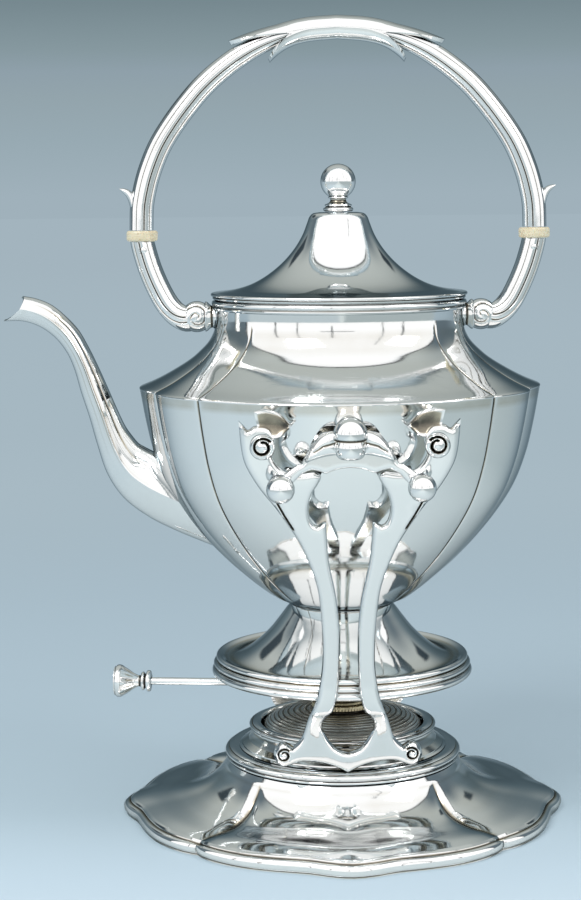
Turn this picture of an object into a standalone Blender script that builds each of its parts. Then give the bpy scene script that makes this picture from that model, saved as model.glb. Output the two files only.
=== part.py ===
# Spirit kettle on a stand: a lobed kettle with a hinged lid and a bail handle,
# tilting between two upright brackets above a spirit lamp.
# Metres, +Z up. The spout points along -X and the front bracket stands at -Y.
import math

import bmesh
import bpy
from mathutils import Vector
from mathutils.geometry import tessellate_polygon

# Clearances
seat_gap = 0.0003
running_gap = 0.0004
cutter_overrun = 0.004
weld_distance = 0.00001

# Stand base
base_reach = 0.1012
brim_width = 0.0034
dish_height = 0.0255
dish_wall = 0.0014
lobe_growth_power = 0.7
brim_step_share = 0.10
collar_radius = 0.0541
collar_height = 0.0050
collar_width = 0.0095
gallery_radius = 0.0429
gallery_mouth_radius = 0.0372
gallery_height = 0.0107
gallery_depth = 0.0165
gallery_wall = 0.0011
gallery_neck_setback = 0.0020
gallery_bracket_gap = 0.0020

# Brackets
bracket_foot_setback = 0.0046
bracket_head_setback = 0.0050
bracket_depth = 0.0056
bracket_reach = 0.0459
bracket_height = 0.1590
bracket_edge = 0.0013
rim_to_bracket_gap = 0.0024

# Kettle
kettle_foot_lift = 0.0642
foot_radius = 0.0597
foot_height = 0.0319
foot_wall = 0.0012
body_radius = 0.0915
belly_height = 0.1000
shoulder_height = 0.0225
neck_radius = 0.0564
neck_height = 0.0171
waist_radius = 0.0225
body_wall = 0.0012
broad_crease_depth = 0.0015
narrow_crease_depth = 0.0033
neck_ring_height = 0.0044
neck_ring_width = 0.0015

# Spout
spout_projection = 0.0614
spout_rise = 0.1123
spout_foot_height = 0.0299
spout_root_half_width = 0.0150
spout_tip_half_width = 0.0066
spout_wall = 0.0011
strainer_hole_radius = 0.0021
strainer_spacing = 0.0064
strainer_centre_share = 0.18
spout_roundness = 2.2
spout_tip_notch = 0.0036

# Pivot pins and kettle lugs
pin_offset = 0.0290
pin_drop = 0.0270
pin_radius = 0.0020
pin_neck_radius = 0.0024
pin_ball_radius = 0.00585
pin_ball_offset_share = 0.90
pin_collar_radius = 0.0034
pin_collar_length = 0.0014
pin_length = 0.0125
lug_thickness = 0.0031
lug_clearance = 0.0014
lug_half_width = 0.0205
lug_height = 0.0175
lug_rise = 0.0077
lug_edge = 0.0008
eye_radius = 0.0043
finger_half_width = 0.0026
finger_back_share = 0.50
finger_run_share = 0.30
stem_half_width = 0.0078
stem_reach = 0.0117
stem_base_share = 0.08
stem_top_share = 0.62
bud_radius = 0.0071
bud_height = 0.0178
bud_base_share = 0.19
bud_forward = 0.0007

# Lid
lid_radius = 0.0586
lid_height = 0.0392
lid_wall = 0.0011
lid_rim_width = 0.0022
bezel_depth = 0.0075
bezel_wall = 0.0009
finial_height = 0.0217
finial_radius = 0.00805
finial_screw_radius = 0.0022
finial_screw_length = 0.0085
nut_radius = 0.0050
nut_height = 0.0032

# Lid hinge
hinge_standoff = 0.0027
hinge_knuckle_radius = 0.0021
hinge_lift_share = 0.76
hinge_pin_radius = 0.0009
hinge_half_length = 0.0064
hinge_leaf_thickness = 0.0008
hinge_lid_leaf_length = 0.0075
hinge_body_leaf_height = 0.0085
hinge_knuckle_gap = 0.0003

# Bail handle
bail_radius = 0.0056
bail_top_radius = 0.0037
bail_half_span = 0.0895
bail_rise = 0.1308
socket_radius = 0.0087
socket_drop = 0.0076
socket_length = 0.0074
socket_floor_share = 0.26
pivot_pin_share = 0.62
pivot_pin_radius = 0.0030
ring_radius = 0.0071
ring_thickness = 0.0048
ring_height = 0.0394
ring_edge_share = 0.16
peg_radius = 0.0025
peg_length = 0.0060
peg_end_gap = 0.0008
rivet_radius = 0.0007
rivet_head_radius = 0.0011
rivet_drop = 0.0040
rivet_place_share = 0.988
sheath_wall = 0.0009
sheath_gap = 0.0007
thorn_length = 0.0085
thorn_radius = 0.0032

# Spirit lamp
lamp_wall = 0.0009
reservoir_edge = 0.0020
lamp_turn_gap = 0.0009
lamp_shoulder_height = 0.0135
lamp_dome_height = 0.0080
lamp_neck_radius = 0.0090
lamp_neck_height = 0.0022
burner_cap_radius = 0.0140
burner_cap_wall = 0.0009
wick_width = 0.0096
wick_thickness = 0.0028
wick_length = 0.0270
wick_tube_wall = 0.0006
wick_tube_drop = 0.0150
flange_radius = 0.0122
flange_thickness = 0.0009
flange_fill_share = 0.70
burner_radius = 0.0108
burner_height = 0.0082
burner_wall = 0.0008
winder_radius = 0.0017
winder_lift = 0.0052
winder_reach = 0.0955
pinion_radius = 0.0031
pinion_tooth_depth = 0.0006
pinion_width = 0.0052
pinion_gap = 0.0008
winder_overrun = 0.0012
knob_radius = 0.0075
knob_length = 0.0172
knob_socket_depth = 0.0060
lamp_turn_degrees = 6.0

# The kettle's lobes: start and end in degrees, and how many facets each has
lobe_spans = (
    (-20.0, 20.0, 4), (20.0, 45.0, 2), (45.0, 135.0, 6), (135.0, 160.0, 2),
    (160.0, 200.0, 4), (200.0, 225.0, 2), (225.0, 315.0, 6), (315.0, 340.0, 2),
)

# How finely round work is faceted
narrowest_corner_share = 0.55
round_segments = 26
small_segments = 12
tube_segments = 8
sheath_sides = 12
sheath_steps = 12

# Positions that follow from the sizes above
collar_base = dish_height + seat_gap
gallery_base = collar_base + collar_height + seat_gap
gallery_top = gallery_base + gallery_height
gallery_floor = gallery_top - gallery_depth
bracket_base = gallery_base + seat_gap
bracket_top = bracket_base + bracket_height
pin_height = bracket_top - pin_drop
belly_base = kettle_foot_lift + foot_height + seat_gap
shoulder_base = belly_base + belly_height
neck_base = shoulder_base + shoulder_height
neck_top = neck_base + neck_height
neck_ring_radius = neck_radius + seat_gap + neck_ring_width
rim_seam = neck_top + seat_gap
lid_top = rim_seam + lid_height
finial_base = lid_top + seat_gap
bail_axis_height = neck_top - socket_drop
ring_base = bail_axis_height + ring_height - ring_thickness
bracket_foot_distance = collar_radius - bracket_foot_setback
bracket_rim_distance = foot_radius + rim_to_bracket_gap
bracket_head_distance = body_radius - bracket_head_setback
lug_back_distance = bracket_head_distance + bracket_depth + lug_clearance
lug_front_distance = lug_back_distance + lug_thickness
lug_base = pin_height + lug_rise
spout_base = belly_base + spout_foot_height
reservoir_base = gallery_floor + seat_gap
reservoir_radius = gallery_mouth_radius - lamp_turn_gap
reservoir_shoulder = reservoir_base + lamp_shoulder_height
lamp_neck_base = reservoir_shoulder + lamp_dome_height
lamp_neck_top = lamp_neck_base + lamp_neck_height
burner_cap_base = lamp_neck_base + seat_gap
burner_cap_top = lamp_neck_top + seat_gap + burner_cap_wall
flange_base = burner_cap_top + seat_gap
burner_base = flange_base + flange_thickness + seat_gap
winder_height = burner_base + winder_lift
winder_offset = wick_thickness / 2 + running_gap + pinion_radius
wick_top = burner_base + burner_height
wick_slot_half_width = wick_width / 2 + running_gap
wick_slot_half_depth = wick_thickness / 2 + running_gap
wick_tube_half_width = wick_slot_half_width + wick_tube_wall
wick_tube_half_depth = wick_slot_half_depth + wick_tube_wall
hinge_axis_distance = lid_radius + hinge_standoff
hinge_axis_height = neck_top + hinge_knuckle_radius * hinge_lift_share
axis_shift = (spout_projection + body_radius - base_reach) / 2

# Outlines, as shares of the sizes that they follow
brim_outline_shares = (
    (0.0, 1.0), (0.12, 0.983), (0.24, 0.952), (0.50, 0.955), (0.78, 0.957), (1.0, 0.935),
)
dish_section_shares = (
    (0.0, 1.0), (0.14, 0.98), (0.19, 0.835), (0.254, 0.682), (0.344, 0.541),
    (0.453, 0.447), (0.60, 0.383), (0.80, 0.330), (0.93, 0.262), (1.0, 0.17),
)
collar_section_shares = (
    (0.0, 0.0), (0.84, 0.0), (1.0, 0.30), (1.0, 0.62), (0.86, 0.94), (0.66, 1.0), (0.0, 1.0),
)
gallery_waist_shares = ((1.0, 0.0), (0.56, 0.14), (0.24, 0.35), (0.05, 0.56), (0.0, 0.68))
gallery_rim_shares = (
    (0.84, 0.715), (1.0, 0.77), (0.97, 0.85), (0.85, 0.90), (0.62, 1.0), (0.0, 0.94),
)
foot_rim_shares = (
    (0.978, 0.0), (1.0, 0.06), (1.0, 0.14), (0.976, 0.19), (0.970, 0.24), (0.944, 0.296), (0.888, 0.250),
)
foot_flare_shares = (
    (0.848, 0.228), (0.754, 0.304), (0.660, 0.425), (0.560, 0.605), (0.475, 0.80), (0.385, 1.0),
)
belly_shares = (
    (0.350, 0.042), (0.426, 0.092), (0.497, 0.146), (0.570, 0.206), (0.681, 0.311), (0.786, 0.431),
    (0.870, 0.555), (0.929, 0.695), (0.968, 0.845), (1.0, 1.0),
)
shoulder_shares = (
    (0.800, 0.135), (0.592, 0.316), (0.339, 0.556), (0.210, 0.733), (0.063, 0.90), (0.0, 1.0),
)
crease_fade_shares = ((0.0, 0.25), (0.15, 0.60), (0.40, 1.0), (1.0, 1.0))
neck_ring_shares = (
    (0.0, 0.0), (0.80, 0.06), (1.0, 0.32), (0.72, 0.52), (1.0, 0.74), (0.80, 0.96), (0.0, 1.0),
)
spout_section_shares = (
    (-0.187, 0.336, -0.578, -0.038, 1.0), (-0.057, 0.373, -0.252, 0.038, 0.93),
    (-0.024, 0.383, -0.057, 0.094, 0.85), (0.013, 0.396, 0.130, 0.174, 0.76),
    (0.057, 0.425, 0.249, 0.273, 0.67), (0.111, 0.469, 0.321, 0.394, 0.60),
    (0.171, 0.541, 0.376, 0.505, 0.54), (0.239, 0.630, 0.435, 0.607, 0.50),
    (0.311, 0.720, 0.480, 0.697, 0.47), (0.375, 0.793, 0.526, 0.759, 0.46),
    (0.445, 0.860, 0.588, 0.810, 0.455), (0.536, 0.915, 0.656, 0.847, 0.45),
    (0.643, 0.963, 0.744, 0.878, 0.445), (0.754, 0.989, 0.860, 0.898, 0.44), (0.855, 1.0, 1.0, 0.899, 0.44),
)
spout_round_shares = (-1.0, -0.82, -0.48, 0.0, 0.48, 0.82, 1.0)
bracket_foot_lean_shares = (
    (0.0, 0.0), (0.10, 0.24), (0.165, 0.60), (0.203, 0.94), (0.26, 1.0),
)
bracket_head_lean_shares = (
    (0.26, 0.0), (0.354, 0.15), (0.486, 0.38), (0.606, 0.61), (0.713, 0.80), (0.845, 1.0), (1.0, 1.13),
)
bracket_outer_shares = (
    (0.0, 0.0), (0.192, 0.025), (0.325, 0.036), (0.455, 0.036), (0.595, 0.023), (0.672, 0.033),
    (0.704, 0.055), (0.672, 0.077), (0.595, 0.087), (0.505, 0.090), (0.430, 0.106), (0.381, 0.153),
    (0.296, 0.225), (0.248, 0.309), (0.242, 0.371), (0.255, 0.450), (0.290, 0.537), (0.357, 0.601),
    (0.462, 0.672), (0.649, 0.757), (0.808, 0.817), (0.895, 0.857), (0.950, 0.890), (0.980, 0.929),
    (1.0, 1.0), (0.915, 0.985), (0.822, 0.986), (0.743, 0.983), (0.688, 0.966), (0.673, 0.945),
    (0.710, 0.911), (0.623, 0.872), (0.562, 0.862), (0.314, 0.863),
)
bracket_inner_shares = (
    (0.259, 0.852), (0.340, 0.806), (0.373, 0.757), (0.357, 0.733), (0.290, 0.714), (0.214, 0.727),
    (0.208, 0.692), (0.186, 0.616), (0.120, 0.516), (0.085, 0.356), (0.092, 0.294), (0.107, 0.233),
    (0.166, 0.180), (0.222, 0.159), (0.246, 0.139), (0.220, 0.112), (0.150, 0.084), (0.0, 0.058),
)
lug_plate_shares = (
    (0.0, 0.0), (0.24, -0.03), (0.42, -0.10), (0.50, -0.14), (0.62, -0.07), (0.80, -0.04),
)
lug_leaf_shares = (
    (1.0, 0.05), (0.95, 0.17), (0.85, 0.39), (0.70, 0.65), (0.56, 0.81), (0.37, 0.85), (0.0, 0.85),
)
bud_section_shares = (
    (0.0, 0.0), (0.66, 0.08), (0.88, 0.22), (0.90, 0.34), (0.80, 0.40), (0.95, 0.50),
    (1.0, 0.62), (0.90, 0.80), (0.55, 0.95), (0.0, 1.0),
)
lid_section_shares = (
    (0.985, 0.0), (1.0, 0.022), (1.0, 0.056), (0.980, 0.072), (0.802, 0.112), (0.683, 0.170),
    (0.563, 0.268), (0.440, 0.415), (0.345, 0.578), (0.280, 0.740), (0.232, 0.925), (0.201, 1.0),
)
finial_section_shares = (
    (0.86, 0.0), (0.86, 0.11), (0.70, 0.19), (0.50, 0.23), (0.46, 0.28),
)
bail_path_shares = (
    (1.0, 0.340), (0.996, 0.385), (0.982, 0.440), (0.956, 0.505), (0.905, 0.590), (0.838, 0.665),
    (0.750, 0.745), (0.670, 0.806), (0.560, 0.870), (0.447, 0.921), (0.320, 0.960),
    (0.165, 0.990), (0.0, 1.0),
)
thorn_path_shares = ((-0.2, 0.0), (0.25, 0.16), (0.65, 0.85), (0.85, 1.4))
thorn_taper_shares = (1.0, 0.8, 0.42, 0.1)
sheath_reach_shares = (0.20, 0.31, 0.17)
bail_taper_shares = ((0.0, 0.0), (0.28, 0.10), (0.50, 0.75), (0.70, 0.90), (1.0, 1.0))
knob_section_shares = (
    (0.46, 0.0), (0.65, 0.05), (0.65, 0.12), (0.44, 0.17), (0.56, 0.22), (0.44, 0.28), (0.34, 0.33),
    (0.42, 0.42), (0.62, 0.60), (0.86, 0.77), (1.0, 0.86), (1.0, 0.93), (0.90, 1.0), (0.0, 0.965),
)
stub_path_shares = (
    (0.0, 0.0), (0.17, -0.035), (0.37, 0.035), (0.54, 0.170), (0.70, 0.375),
    (0.855, 0.635), (0.96, 0.880), (1.0, 1.0),
)
socket_section_shares = (
    (0.62, 0.0), (0.62, 0.28), (0.80, 0.34), (0.92, 0.50), (1.0, 0.68), (0.94, 0.90), (0.78, 1.0),
)

# Finishes: base colour, roughness, metallic
polished_silver = ((0.86, 0.87, 0.88), 0.10, 1.0)
shaded_silver = ((0.70, 0.70, 0.69), 0.22, 1.0)
ivory = ((0.86, 0.78, 0.58), 0.42, 0.0)
brass = ((0.72, 0.58, 0.30), 0.28, 1.0)
cotton = ((0.88, 0.86, 0.80), 0.95, 0.0)


# Scene and joints
joint_places = {}


def clear_scene():
    for item in list(bpy.data.objects):
        bpy.data.objects.remove(item, do_unlink=True)


def add_joint(name, place, carrier=None, turn_degrees=0.0):
    # An empty on the joint's axis; the pieces of a moving body are its children.
    empty = bpy.data.objects.new(name, None)
    bpy.context.collection.objects.link(empty)
    joint_places[name] = Vector(place)
    empty.location = Vector(place)
    if carrier is not None:
        empty.parent = carrier
        empty.location = Vector(place) - joint_places[carrier.name]
    empty.rotation_euler = (0.0, 0.0, math.radians(turn_degrees))
    return empty


def new_object(name, bm, joint):
    bmesh.ops.remove_doubles(bm, verts=bm.verts[:], dist=weld_distance)
    bmesh.ops.recalc_face_normals(bm, faces=bm.faces[:])
    place = joint_places[joint.name]
    for vert in bm.verts:
        vert.co -= place
    mesh = bpy.data.meshes.new(name)
    bm.to_mesh(mesh)
    bm.free()
    piece = bpy.data.objects.new(name, mesh)
    bpy.context.collection.objects.link(piece)
    piece.parent = joint
    return piece


def add_piece(name, bm, finish, joint, sharp_degrees=38.0):
    piece = new_object(name, bm, joint)
    colour, roughness, metallic = finish
    material = bpy.data.materials.new(name + "_finish")
    material.use_nodes = True
    shader = material.node_tree.nodes["Principled BSDF"]
    shader.inputs["Base Color"].default_value = (*colour, 1.0)
    shader.inputs["Roughness"].default_value = roughness
    shader.inputs["Metallic"].default_value = metallic
    piece.data.materials.append(material)
    piece.data.shade_smooth()
    piece.data.set_sharp_from_angle(angle=math.radians(sharp_degrees))
    return piece


def add_tool(name, bm, joint):
    # A cutting or joining body, which is not part of the kettle.
    tool = new_object(name, bm, joint)
    tool.hide_render = True
    tool.display_type = "WIRE"
    return tool


def combine(piece, tool, operation):
    modifier = piece.modifiers.new(tool.name, "BOOLEAN")
    modifier.operation = operation
    modifier.solver = "EXACT"
    modifier.object = tool


# Outline helpers
def share_at(table, position):
    for (start, low), (end, high) in zip(table, table[1:]):
        if position <= end:
            return low + (high - low) * (position - start) / (end - start)
    return table[-1][1]


def scaled(shares, width, height, width_from=0.0, height_from=0.0):
    return [(width_from + across * width, height_from + up * height) for across, up in shares]


def offset_line(points, distance):
    # Moves an open outline sideways, to the left of its direction of travel.
    moved = []
    for index, point in enumerate(points):
        before = Vector(points[max(index - 1, 0)])
        after = Vector(points[min(index + 1, len(points) - 1)])
        here = Vector(point)
        first = (here - before).normalized() if index > 0 else (after - here).normalized()
        second = (after - here).normalized() if index < len(points) - 1 else first
        normal = Vector((-(first.y + second.y), first.x + second.x)).normalized()
        stretch = max(normal.dot(Vector((-first.y, first.x))), narrowest_corner_share)
        moved.append(tuple(here + normal * distance / stretch))
    return moved


def thinned(points):
    # Keeps the ends and every second point between them.
    return points[:-1:2] + points[-1:]


def arc_points(centre, radius, start_degrees, end_degrees, steps):
    points = []
    for step in range(steps + 1):
        angle = math.radians(start_degrees + (end_degrees - start_degrees) * step / steps)
        points.append((centre[0] + radius * math.cos(angle), centre[1] + radius * math.sin(angle)))
    return points


def smooth_line(points, steps):
    # A curve through the points, with the given number of steps between neighbours.
    result = []
    for index in range(len(points) - 1):
        p0 = Vector(points[max(index - 1, 0)])
        p1 = Vector(points[index])
        p2 = Vector(points[index + 1])
        p3 = Vector(points[min(index + 2, len(points) - 1)])
        for step in range(steps):
            t = step / steps
            part = p1 * 2 + (p2 - p0) * t
            part += (p0 * 2 - p1 * 5 + p2 * 4 - p3) * t * t
            part += (p1 * 3 - p0 - p2 * 3 + p3) * t * t * t
            result.append(tuple(part / 2))
    result.append(tuple(points[-1]))
    return result


def even_angles(count):
    return [2 * math.pi * step / count for step in range(count)]


# Solid helpers
def add_rings(bm, rings, closed_ends):
    # Joins rings of vertices, each a full loop or one vertex on the axis.
    pairs = list(zip(rings, rings[1:]))
    if closed_ends:
        pairs.append((rings[-1], rings[0]))
    for first, second in pairs:
        count = max(len(first), len(second))
        if len(first) == 1 and len(second) == 1:
            continue
        for step in range(count):
            after = (step + 1) % count
            corners = [first[step % len(first)], first[after % len(first)]]
            corners += [second[after % len(second)], second[step % len(second)]]
            corners = [corner for index, corner in enumerate(corners) if corner not in corners[:index]]
            bm.faces.new(corners)


def turn_section(bm, section, angles, centre=(0.0, 0.0, 0.0), axis="Z", shape=None):
    # Turns a closed outline of (radius, distance along the axis) about an axis.
    rings = []
    origin = Vector(centre)
    for radius, along in section:
        ring = []
        for angle in angles if radius > 0 else [0.0]:
            reach = shape(radius, along, angle) if shape else radius
            across = reach * math.cos(angle)
            deep = reach * math.sin(angle)
            if axis == "Z":
                offset = Vector((across, deep, along))
            elif axis == "X":
                offset = Vector((along, across, deep))
            else:
                offset = Vector((deep, along, across))
            ring.append(bm.verts.new(origin + offset))
        rings.append(ring)
    add_rings(bm, rings, True)


def add_rod(bm, start, axis, radius, length, sides):
    section = [(0.0, 0.0), (radius, 0.0), (radius, length), (0.0, length)]
    turn_section(bm, section, even_angles(sides), start, axis)


def add_box(bm, low, high):
    corners = []
    for index in range(8):
        corners.append(bm.verts.new((
            (low, high)[index & 1][0],
            (low, high)[index >> 1 & 1][1],
            (low, high)[index >> 2 & 1][2],
        )))
    for side in ((0, 2, 3, 1), (4, 5, 7, 6), (0, 1, 5, 4), (2, 6, 7, 3), (0, 4, 6, 2), (1, 3, 7, 5)):
        bm.faces.new([corners[index] for index in side])


def cap_loops(bm, loops):
    # Fills the area inside the first loop and outside the others.
    flat = [vert for loop in loops for vert in loop]
    outline = [[Vector((vert.co.x, vert.co.z, 0.0)) for vert in loop] for loop in loops]
    for triangle in tessellate_polygon(outline):
        bm.faces.new([flat[index] for index in triangle])


def inset_loop(points, distance):
    closed = points[-1:] + points + points[:1]
    area = sum(a[0] * b[1] - b[0] * a[1] for a, b in zip(points, points[1:] + points[:1]))
    moved = offset_line(closed, distance if area > 0 else -distance)
    return moved[1:-1]


def add_plate(bm, outline, holes, layers):
    # A plate in the XZ plane; each layer is (y, how far its edge is drawn in).
    previous = None
    for index, (depth, drawn_in) in enumerate(layers):
        loops = [inset_loop(outline, drawn_in) if drawn_in else outline] + holes
        verts = [[bm.verts.new((x, depth, z)) for x, z in loop] for loop in loops]
        if previous is None:
            cap_loops(bm, verts)
        else:
            for first, second in zip(previous, verts):
                add_rings(bm, [first, second], False)
        previous = verts
    cap_loops(bm, previous)


def rounded_layers(back, front, edge):
    toward = 1.0 if front > back else -1.0
    return [(back, 0.0), (front - toward * edge, 0.0), (front, edge)]


def add_swept_tube(bm, path, radii, sides, end_headings=None):
    # A round bar along a path in the XZ plane, with flat ends that may face a given way.
    rings = []
    for index, (x, z) in enumerate(path):
        before = Vector(path[max(index - 1, 0)])
        after = Vector(path[min(index + 1, len(path) - 1)])
        along = (after - before).normalized()
        if end_headings and index in (0, len(path) - 1):
            along = Vector(end_headings[min(index, 1)])
        normal = Vector((-along.y, along.x))
        ring = []
        for angle in even_angles(sides):
            across = radii[index] * math.cos(angle)
            depth = radii[index] * math.sin(angle)
            ring.append(bm.verts.new((x + normal.x * across, depth, z + normal.y * across)))
        rings.append(ring)
    add_rings(bm, rings, False)
    bm.faces.new(rings[0])
    bm.faces.new(rings[-1])


# Stand base
def dish_angles():
    angles = []
    for quarter in range(4):
        middle = math.pi / 2 * quarter
        for share, _ in reversed(brim_outline_shares[1:]):
            angles.append(middle - share * math.pi / 4)
        for share, _ in brim_outline_shares[:-1]:
            angles.append(middle + share * math.pi / 4)
    return angles


def dish_shape(radius, along, angle):
    across = (radius - collar_radius) / (base_reach - collar_radius)
    if across <= 0:
        return radius
    from_middle = abs((angle + math.pi / 4) % (math.pi / 2) - math.pi / 4) / (math.pi / 4)
    loss = 1.0 - share_at(brim_outline_shares, from_middle)
    return radius - base_reach * loss * across ** lobe_growth_power


def make_base(stand):
    inner_radius = collar_radius - collar_width
    top = scaled(dish_section_shares, base_reach - inner_radius, dish_height, inner_radius)
    under = offset_line(top, -dish_wall)[:-3]
    under.pop(1)
    under[0] = (inner_radius, dish_height - dish_wall)
    brim_inner = base_reach - brim_width
    brim_step = dish_height * brim_step_share
    section = top + [(base_reach, 0.0), (brim_inner, 0.0), (brim_inner, brim_step)] + under[::-1]
    bm = bmesh.new()
    turn_section(bm, section, dish_angles(), shape=dish_shape)
    add_piece("base_dish", bm, polished_silver, stand)

    section = scaled(collar_section_shares, collar_width, collar_height, inner_radius, collar_base)
    bm = bmesh.new()
    turn_section(bm, section, even_angles(round_segments))
    add_piece("base_collar", bm, polished_silver, stand)


def make_gallery(stand):
    waist_foot = bracket_foot_distance - gallery_bracket_gap
    waist_neck = gallery_radius - gallery_neck_setback
    waist = scaled(gallery_waist_shares, waist_foot - waist_neck, gallery_height, waist_neck, gallery_base)
    rim_width = gallery_radius - gallery_mouth_radius
    rim = scaled(gallery_rim_shares, rim_width, gallery_height, gallery_mouth_radius, gallery_base)
    under = offset_line(waist, gallery_wall)
    under[0] = (waist_foot - gallery_wall, gallery_base)
    cup_outer = gallery_mouth_radius + gallery_wall
    section = waist + rim
    section += [(gallery_mouth_radius, gallery_floor), (0.0, gallery_floor)]
    section += [(0.0, gallery_floor - gallery_wall), (cup_outer, gallery_floor - gallery_wall)]
    section += [(cup_outer, under[-1][1])] + under[::-1]
    bm = bmesh.new()
    turn_section(bm, section, even_angles(round_segments))
    add_piece("lamp_gallery", bm, polished_silver, stand)


# Brackets
def bracket_distance(height):
    # Distance of the bracket's inner face from the kettle's axis at a height.
    share = (height - bracket_base) / bracket_height
    foot_end = bracket_foot_lean_shares[-1][0]
    if share <= foot_end:
        lean = share_at(bracket_foot_lean_shares, max(share, 0.0))
        return bracket_foot_distance + lean * (bracket_rim_distance - bracket_foot_distance)
    lean = share_at(bracket_head_lean_shares, share)
    return bracket_rim_distance + lean * (bracket_head_distance - bracket_rim_distance)


def make_bracket(name, side, stand):
    half = [(x * bracket_reach, bracket_base + z * bracket_height) for x, z in bracket_outer_shares]
    half += [(x * bracket_reach, bracket_base + z * bracket_height) for x, z in bracket_inner_shares]
    outline = half + [(-x, z) for x, z in half[-2:0:-1]]
    holes = []
    for offset in (pin_offset, -pin_offset):
        holes.append(arc_points((offset, pin_height), pin_radius + running_gap, 0.0, 324.0, 9))
    bm = bmesh.new()
    add_plate(bm, outline, holes, rounded_layers(0.0, bracket_depth, bracket_edge))
    for share, _ in bracket_foot_lean_shares[1:] + bracket_head_lean_shares[1:-1]:
        level = (0.0, 0.0, bracket_base + share * bracket_height)
        cut = bm.verts[:] + bm.edges[:] + bm.faces[:]
        up = (0.0, 0.0, 1.0)
        bmesh.ops.bisect_plane(bm, geom=cut, dist=weld_distance, plane_co=level, plane_no=up)
    for vert in bm.verts:
        vert.co.y = side * (bracket_distance(vert.co.z) + vert.co.y)
    add_piece(name, bm, polished_silver, stand, 50.0)


def make_pin(name, offset, side, joint):
    front = side * lug_front_distance
    collar_start = front + side * seat_gap
    collar_end = collar_start + side * pin_collar_length
    ball_centre = collar_end + side * pin_ball_radius * pin_ball_offset_share
    section = [(0.0, collar_start - side * pin_length), (pin_radius, collar_start - side * pin_length)]
    section += [(pin_radius, collar_start), (pin_collar_radius, collar_start)]
    section += [(pin_collar_radius, collar_end), (pin_neck_radius, collar_end)]
    for radius, along in arc_points((0.0, 0.0), pin_ball_radius, 58.0, -90.0, 6)[:-1]:
        section.append((radius, ball_centre - side * along))
    section.append((0.0, ball_centre + side * pin_ball_radius))
    bm = bmesh.new()
    turn_section(bm, section, even_angles(small_segments), (offset, 0.0, pin_height), "Y")
    add_piece(name, bm, polished_silver, joint)


# Kettle body
def lobe_angles():
    angles = []
    for start, end, steps in lobe_spans:
        for step in range(steps):
            angles.append(math.radians(start + (end - start) * step / steps))
    return angles


def crease_depth(degrees):
    for start, end, _ in lobe_spans:
        if start <= degrees <= end or start <= degrees - 360.0 <= end:
            position = (degrees % 360.0 - start) % 360.0 / (end - start)
            first = broad_crease_depth if start % 90.0 == 45.0 else narrow_crease_depth
            second = broad_crease_depth if end % 90.0 == 45.0 else narrow_crease_depth
            edge = first + (second - first) * position
            return edge * (1.0 - 4.0 * position * (1.0 - position))
    return 0.0


def body_shape(radius, along, angle):
    if along > neck_base:
        return radius
    if along > shoulder_base:
        fade = 1.0 - (along - shoulder_base) / shoulder_height
    else:
        fade = share_at(crease_fade_shares, max((along - belly_base) / belly_height, 0.0))
    degrees = math.degrees(angle) % 360.0
    return radius - crease_depth(degrees) * fade


def body_outer_line():
    line = [(waist_radius, belly_base)]
    line += scaled(belly_shares, body_radius, belly_height, 0.0, belly_base)
    line += scaled(shoulder_shares, body_radius - neck_radius, shoulder_height, neck_radius, shoulder_base)
    line.append((neck_radius, neck_top))
    return line


def body_solid_section(grown):
    # The kettle's outside as one solid, grown by a gap, for cutting what seats on it.
    outer = offset_line(body_outer_line(), -grown)
    ring_zone = neck_top - neck_ring_height - grown
    ring_reach = neck_ring_radius + grown
    lid_reach = lid_radius + grown
    section = [(0.0, belly_base - grown), (waist_radius + grown, belly_base - grown)] + outer[1:-1]
    section += [(neck_radius + grown, ring_zone), (ring_reach, ring_zone), (ring_reach, neck_top)]
    top = neck_top + neck_ring_height
    section += [(lid_reach, neck_top), (lid_reach, top), (0.0, top)]
    return section


def make_body_tool(joint):
    bm = bmesh.new()
    turn_section(bm, body_solid_section(seat_gap), lobe_angles(), shape=body_shape)
    return add_tool("body_seat_tool", bm, joint)


def make_body(joint):
    outer = body_outer_line()
    inner = thinned(offset_line(outer, body_wall))
    inner[0] = (waist_radius - body_wall, belly_base + body_wall)
    inner[-1] = (neck_radius - body_wall, neck_top)
    section = [(0.0, belly_base)] + outer + inner[::-1] + [(0.0, belly_base + body_wall)]
    bm = bmesh.new()
    turn_section(bm, section, lobe_angles(), shape=body_shape)
    body = add_piece("kettle_body", bm, polished_silver, joint)

    bm = bmesh.new()
    middle = spout_base + spout_rise * strainer_centre_share
    for place in [(0.0, 0.0)] + arc_points((0.0, 0.0), strainer_spacing, 30.0, 330.0, 5):
        start = (-body_radius, place[0], middle + place[1])
        add_rod(bm, start, "X", strainer_hole_radius, body_radius / 2, 8)
    combine(body, add_tool("strainer_tool", bm, joint), "DIFFERENCE")


def make_neck_ring(joint):
    base = neck_top - neck_ring_height
    section = scaled(neck_ring_shares, neck_ring_width, neck_ring_height, neck_radius + seat_gap, base)
    bm = bmesh.new()
    turn_section(bm, section, lobe_angles())
    add_piece("neck_ring", bm, polished_silver, joint)


def make_foot(joint):
    base = kettle_foot_lift
    rim = scaled(foot_rim_shares, foot_radius, foot_height, 0.0, base)
    flare = scaled(foot_flare_shares, foot_radius, foot_height, 0.0, base)
    inner = offset_line(flare, foot_wall)
    inner[-1] = (inner[-1][0], base + foot_height)
    rim_inner = offset_line([rim[0], (rim[0][0], rim[-3][1]), rim[-2], rim[-1]], foot_wall)
    rim_inner[0] = (rim_inner[0][0], base)
    section = rim + flare + inner[::-1] + rim_inner[::-1]
    bm = bmesh.new()
    turn_section(bm, section, even_angles(round_segments))
    add_piece("kettle_foot", bm, polished_silver, joint)


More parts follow.
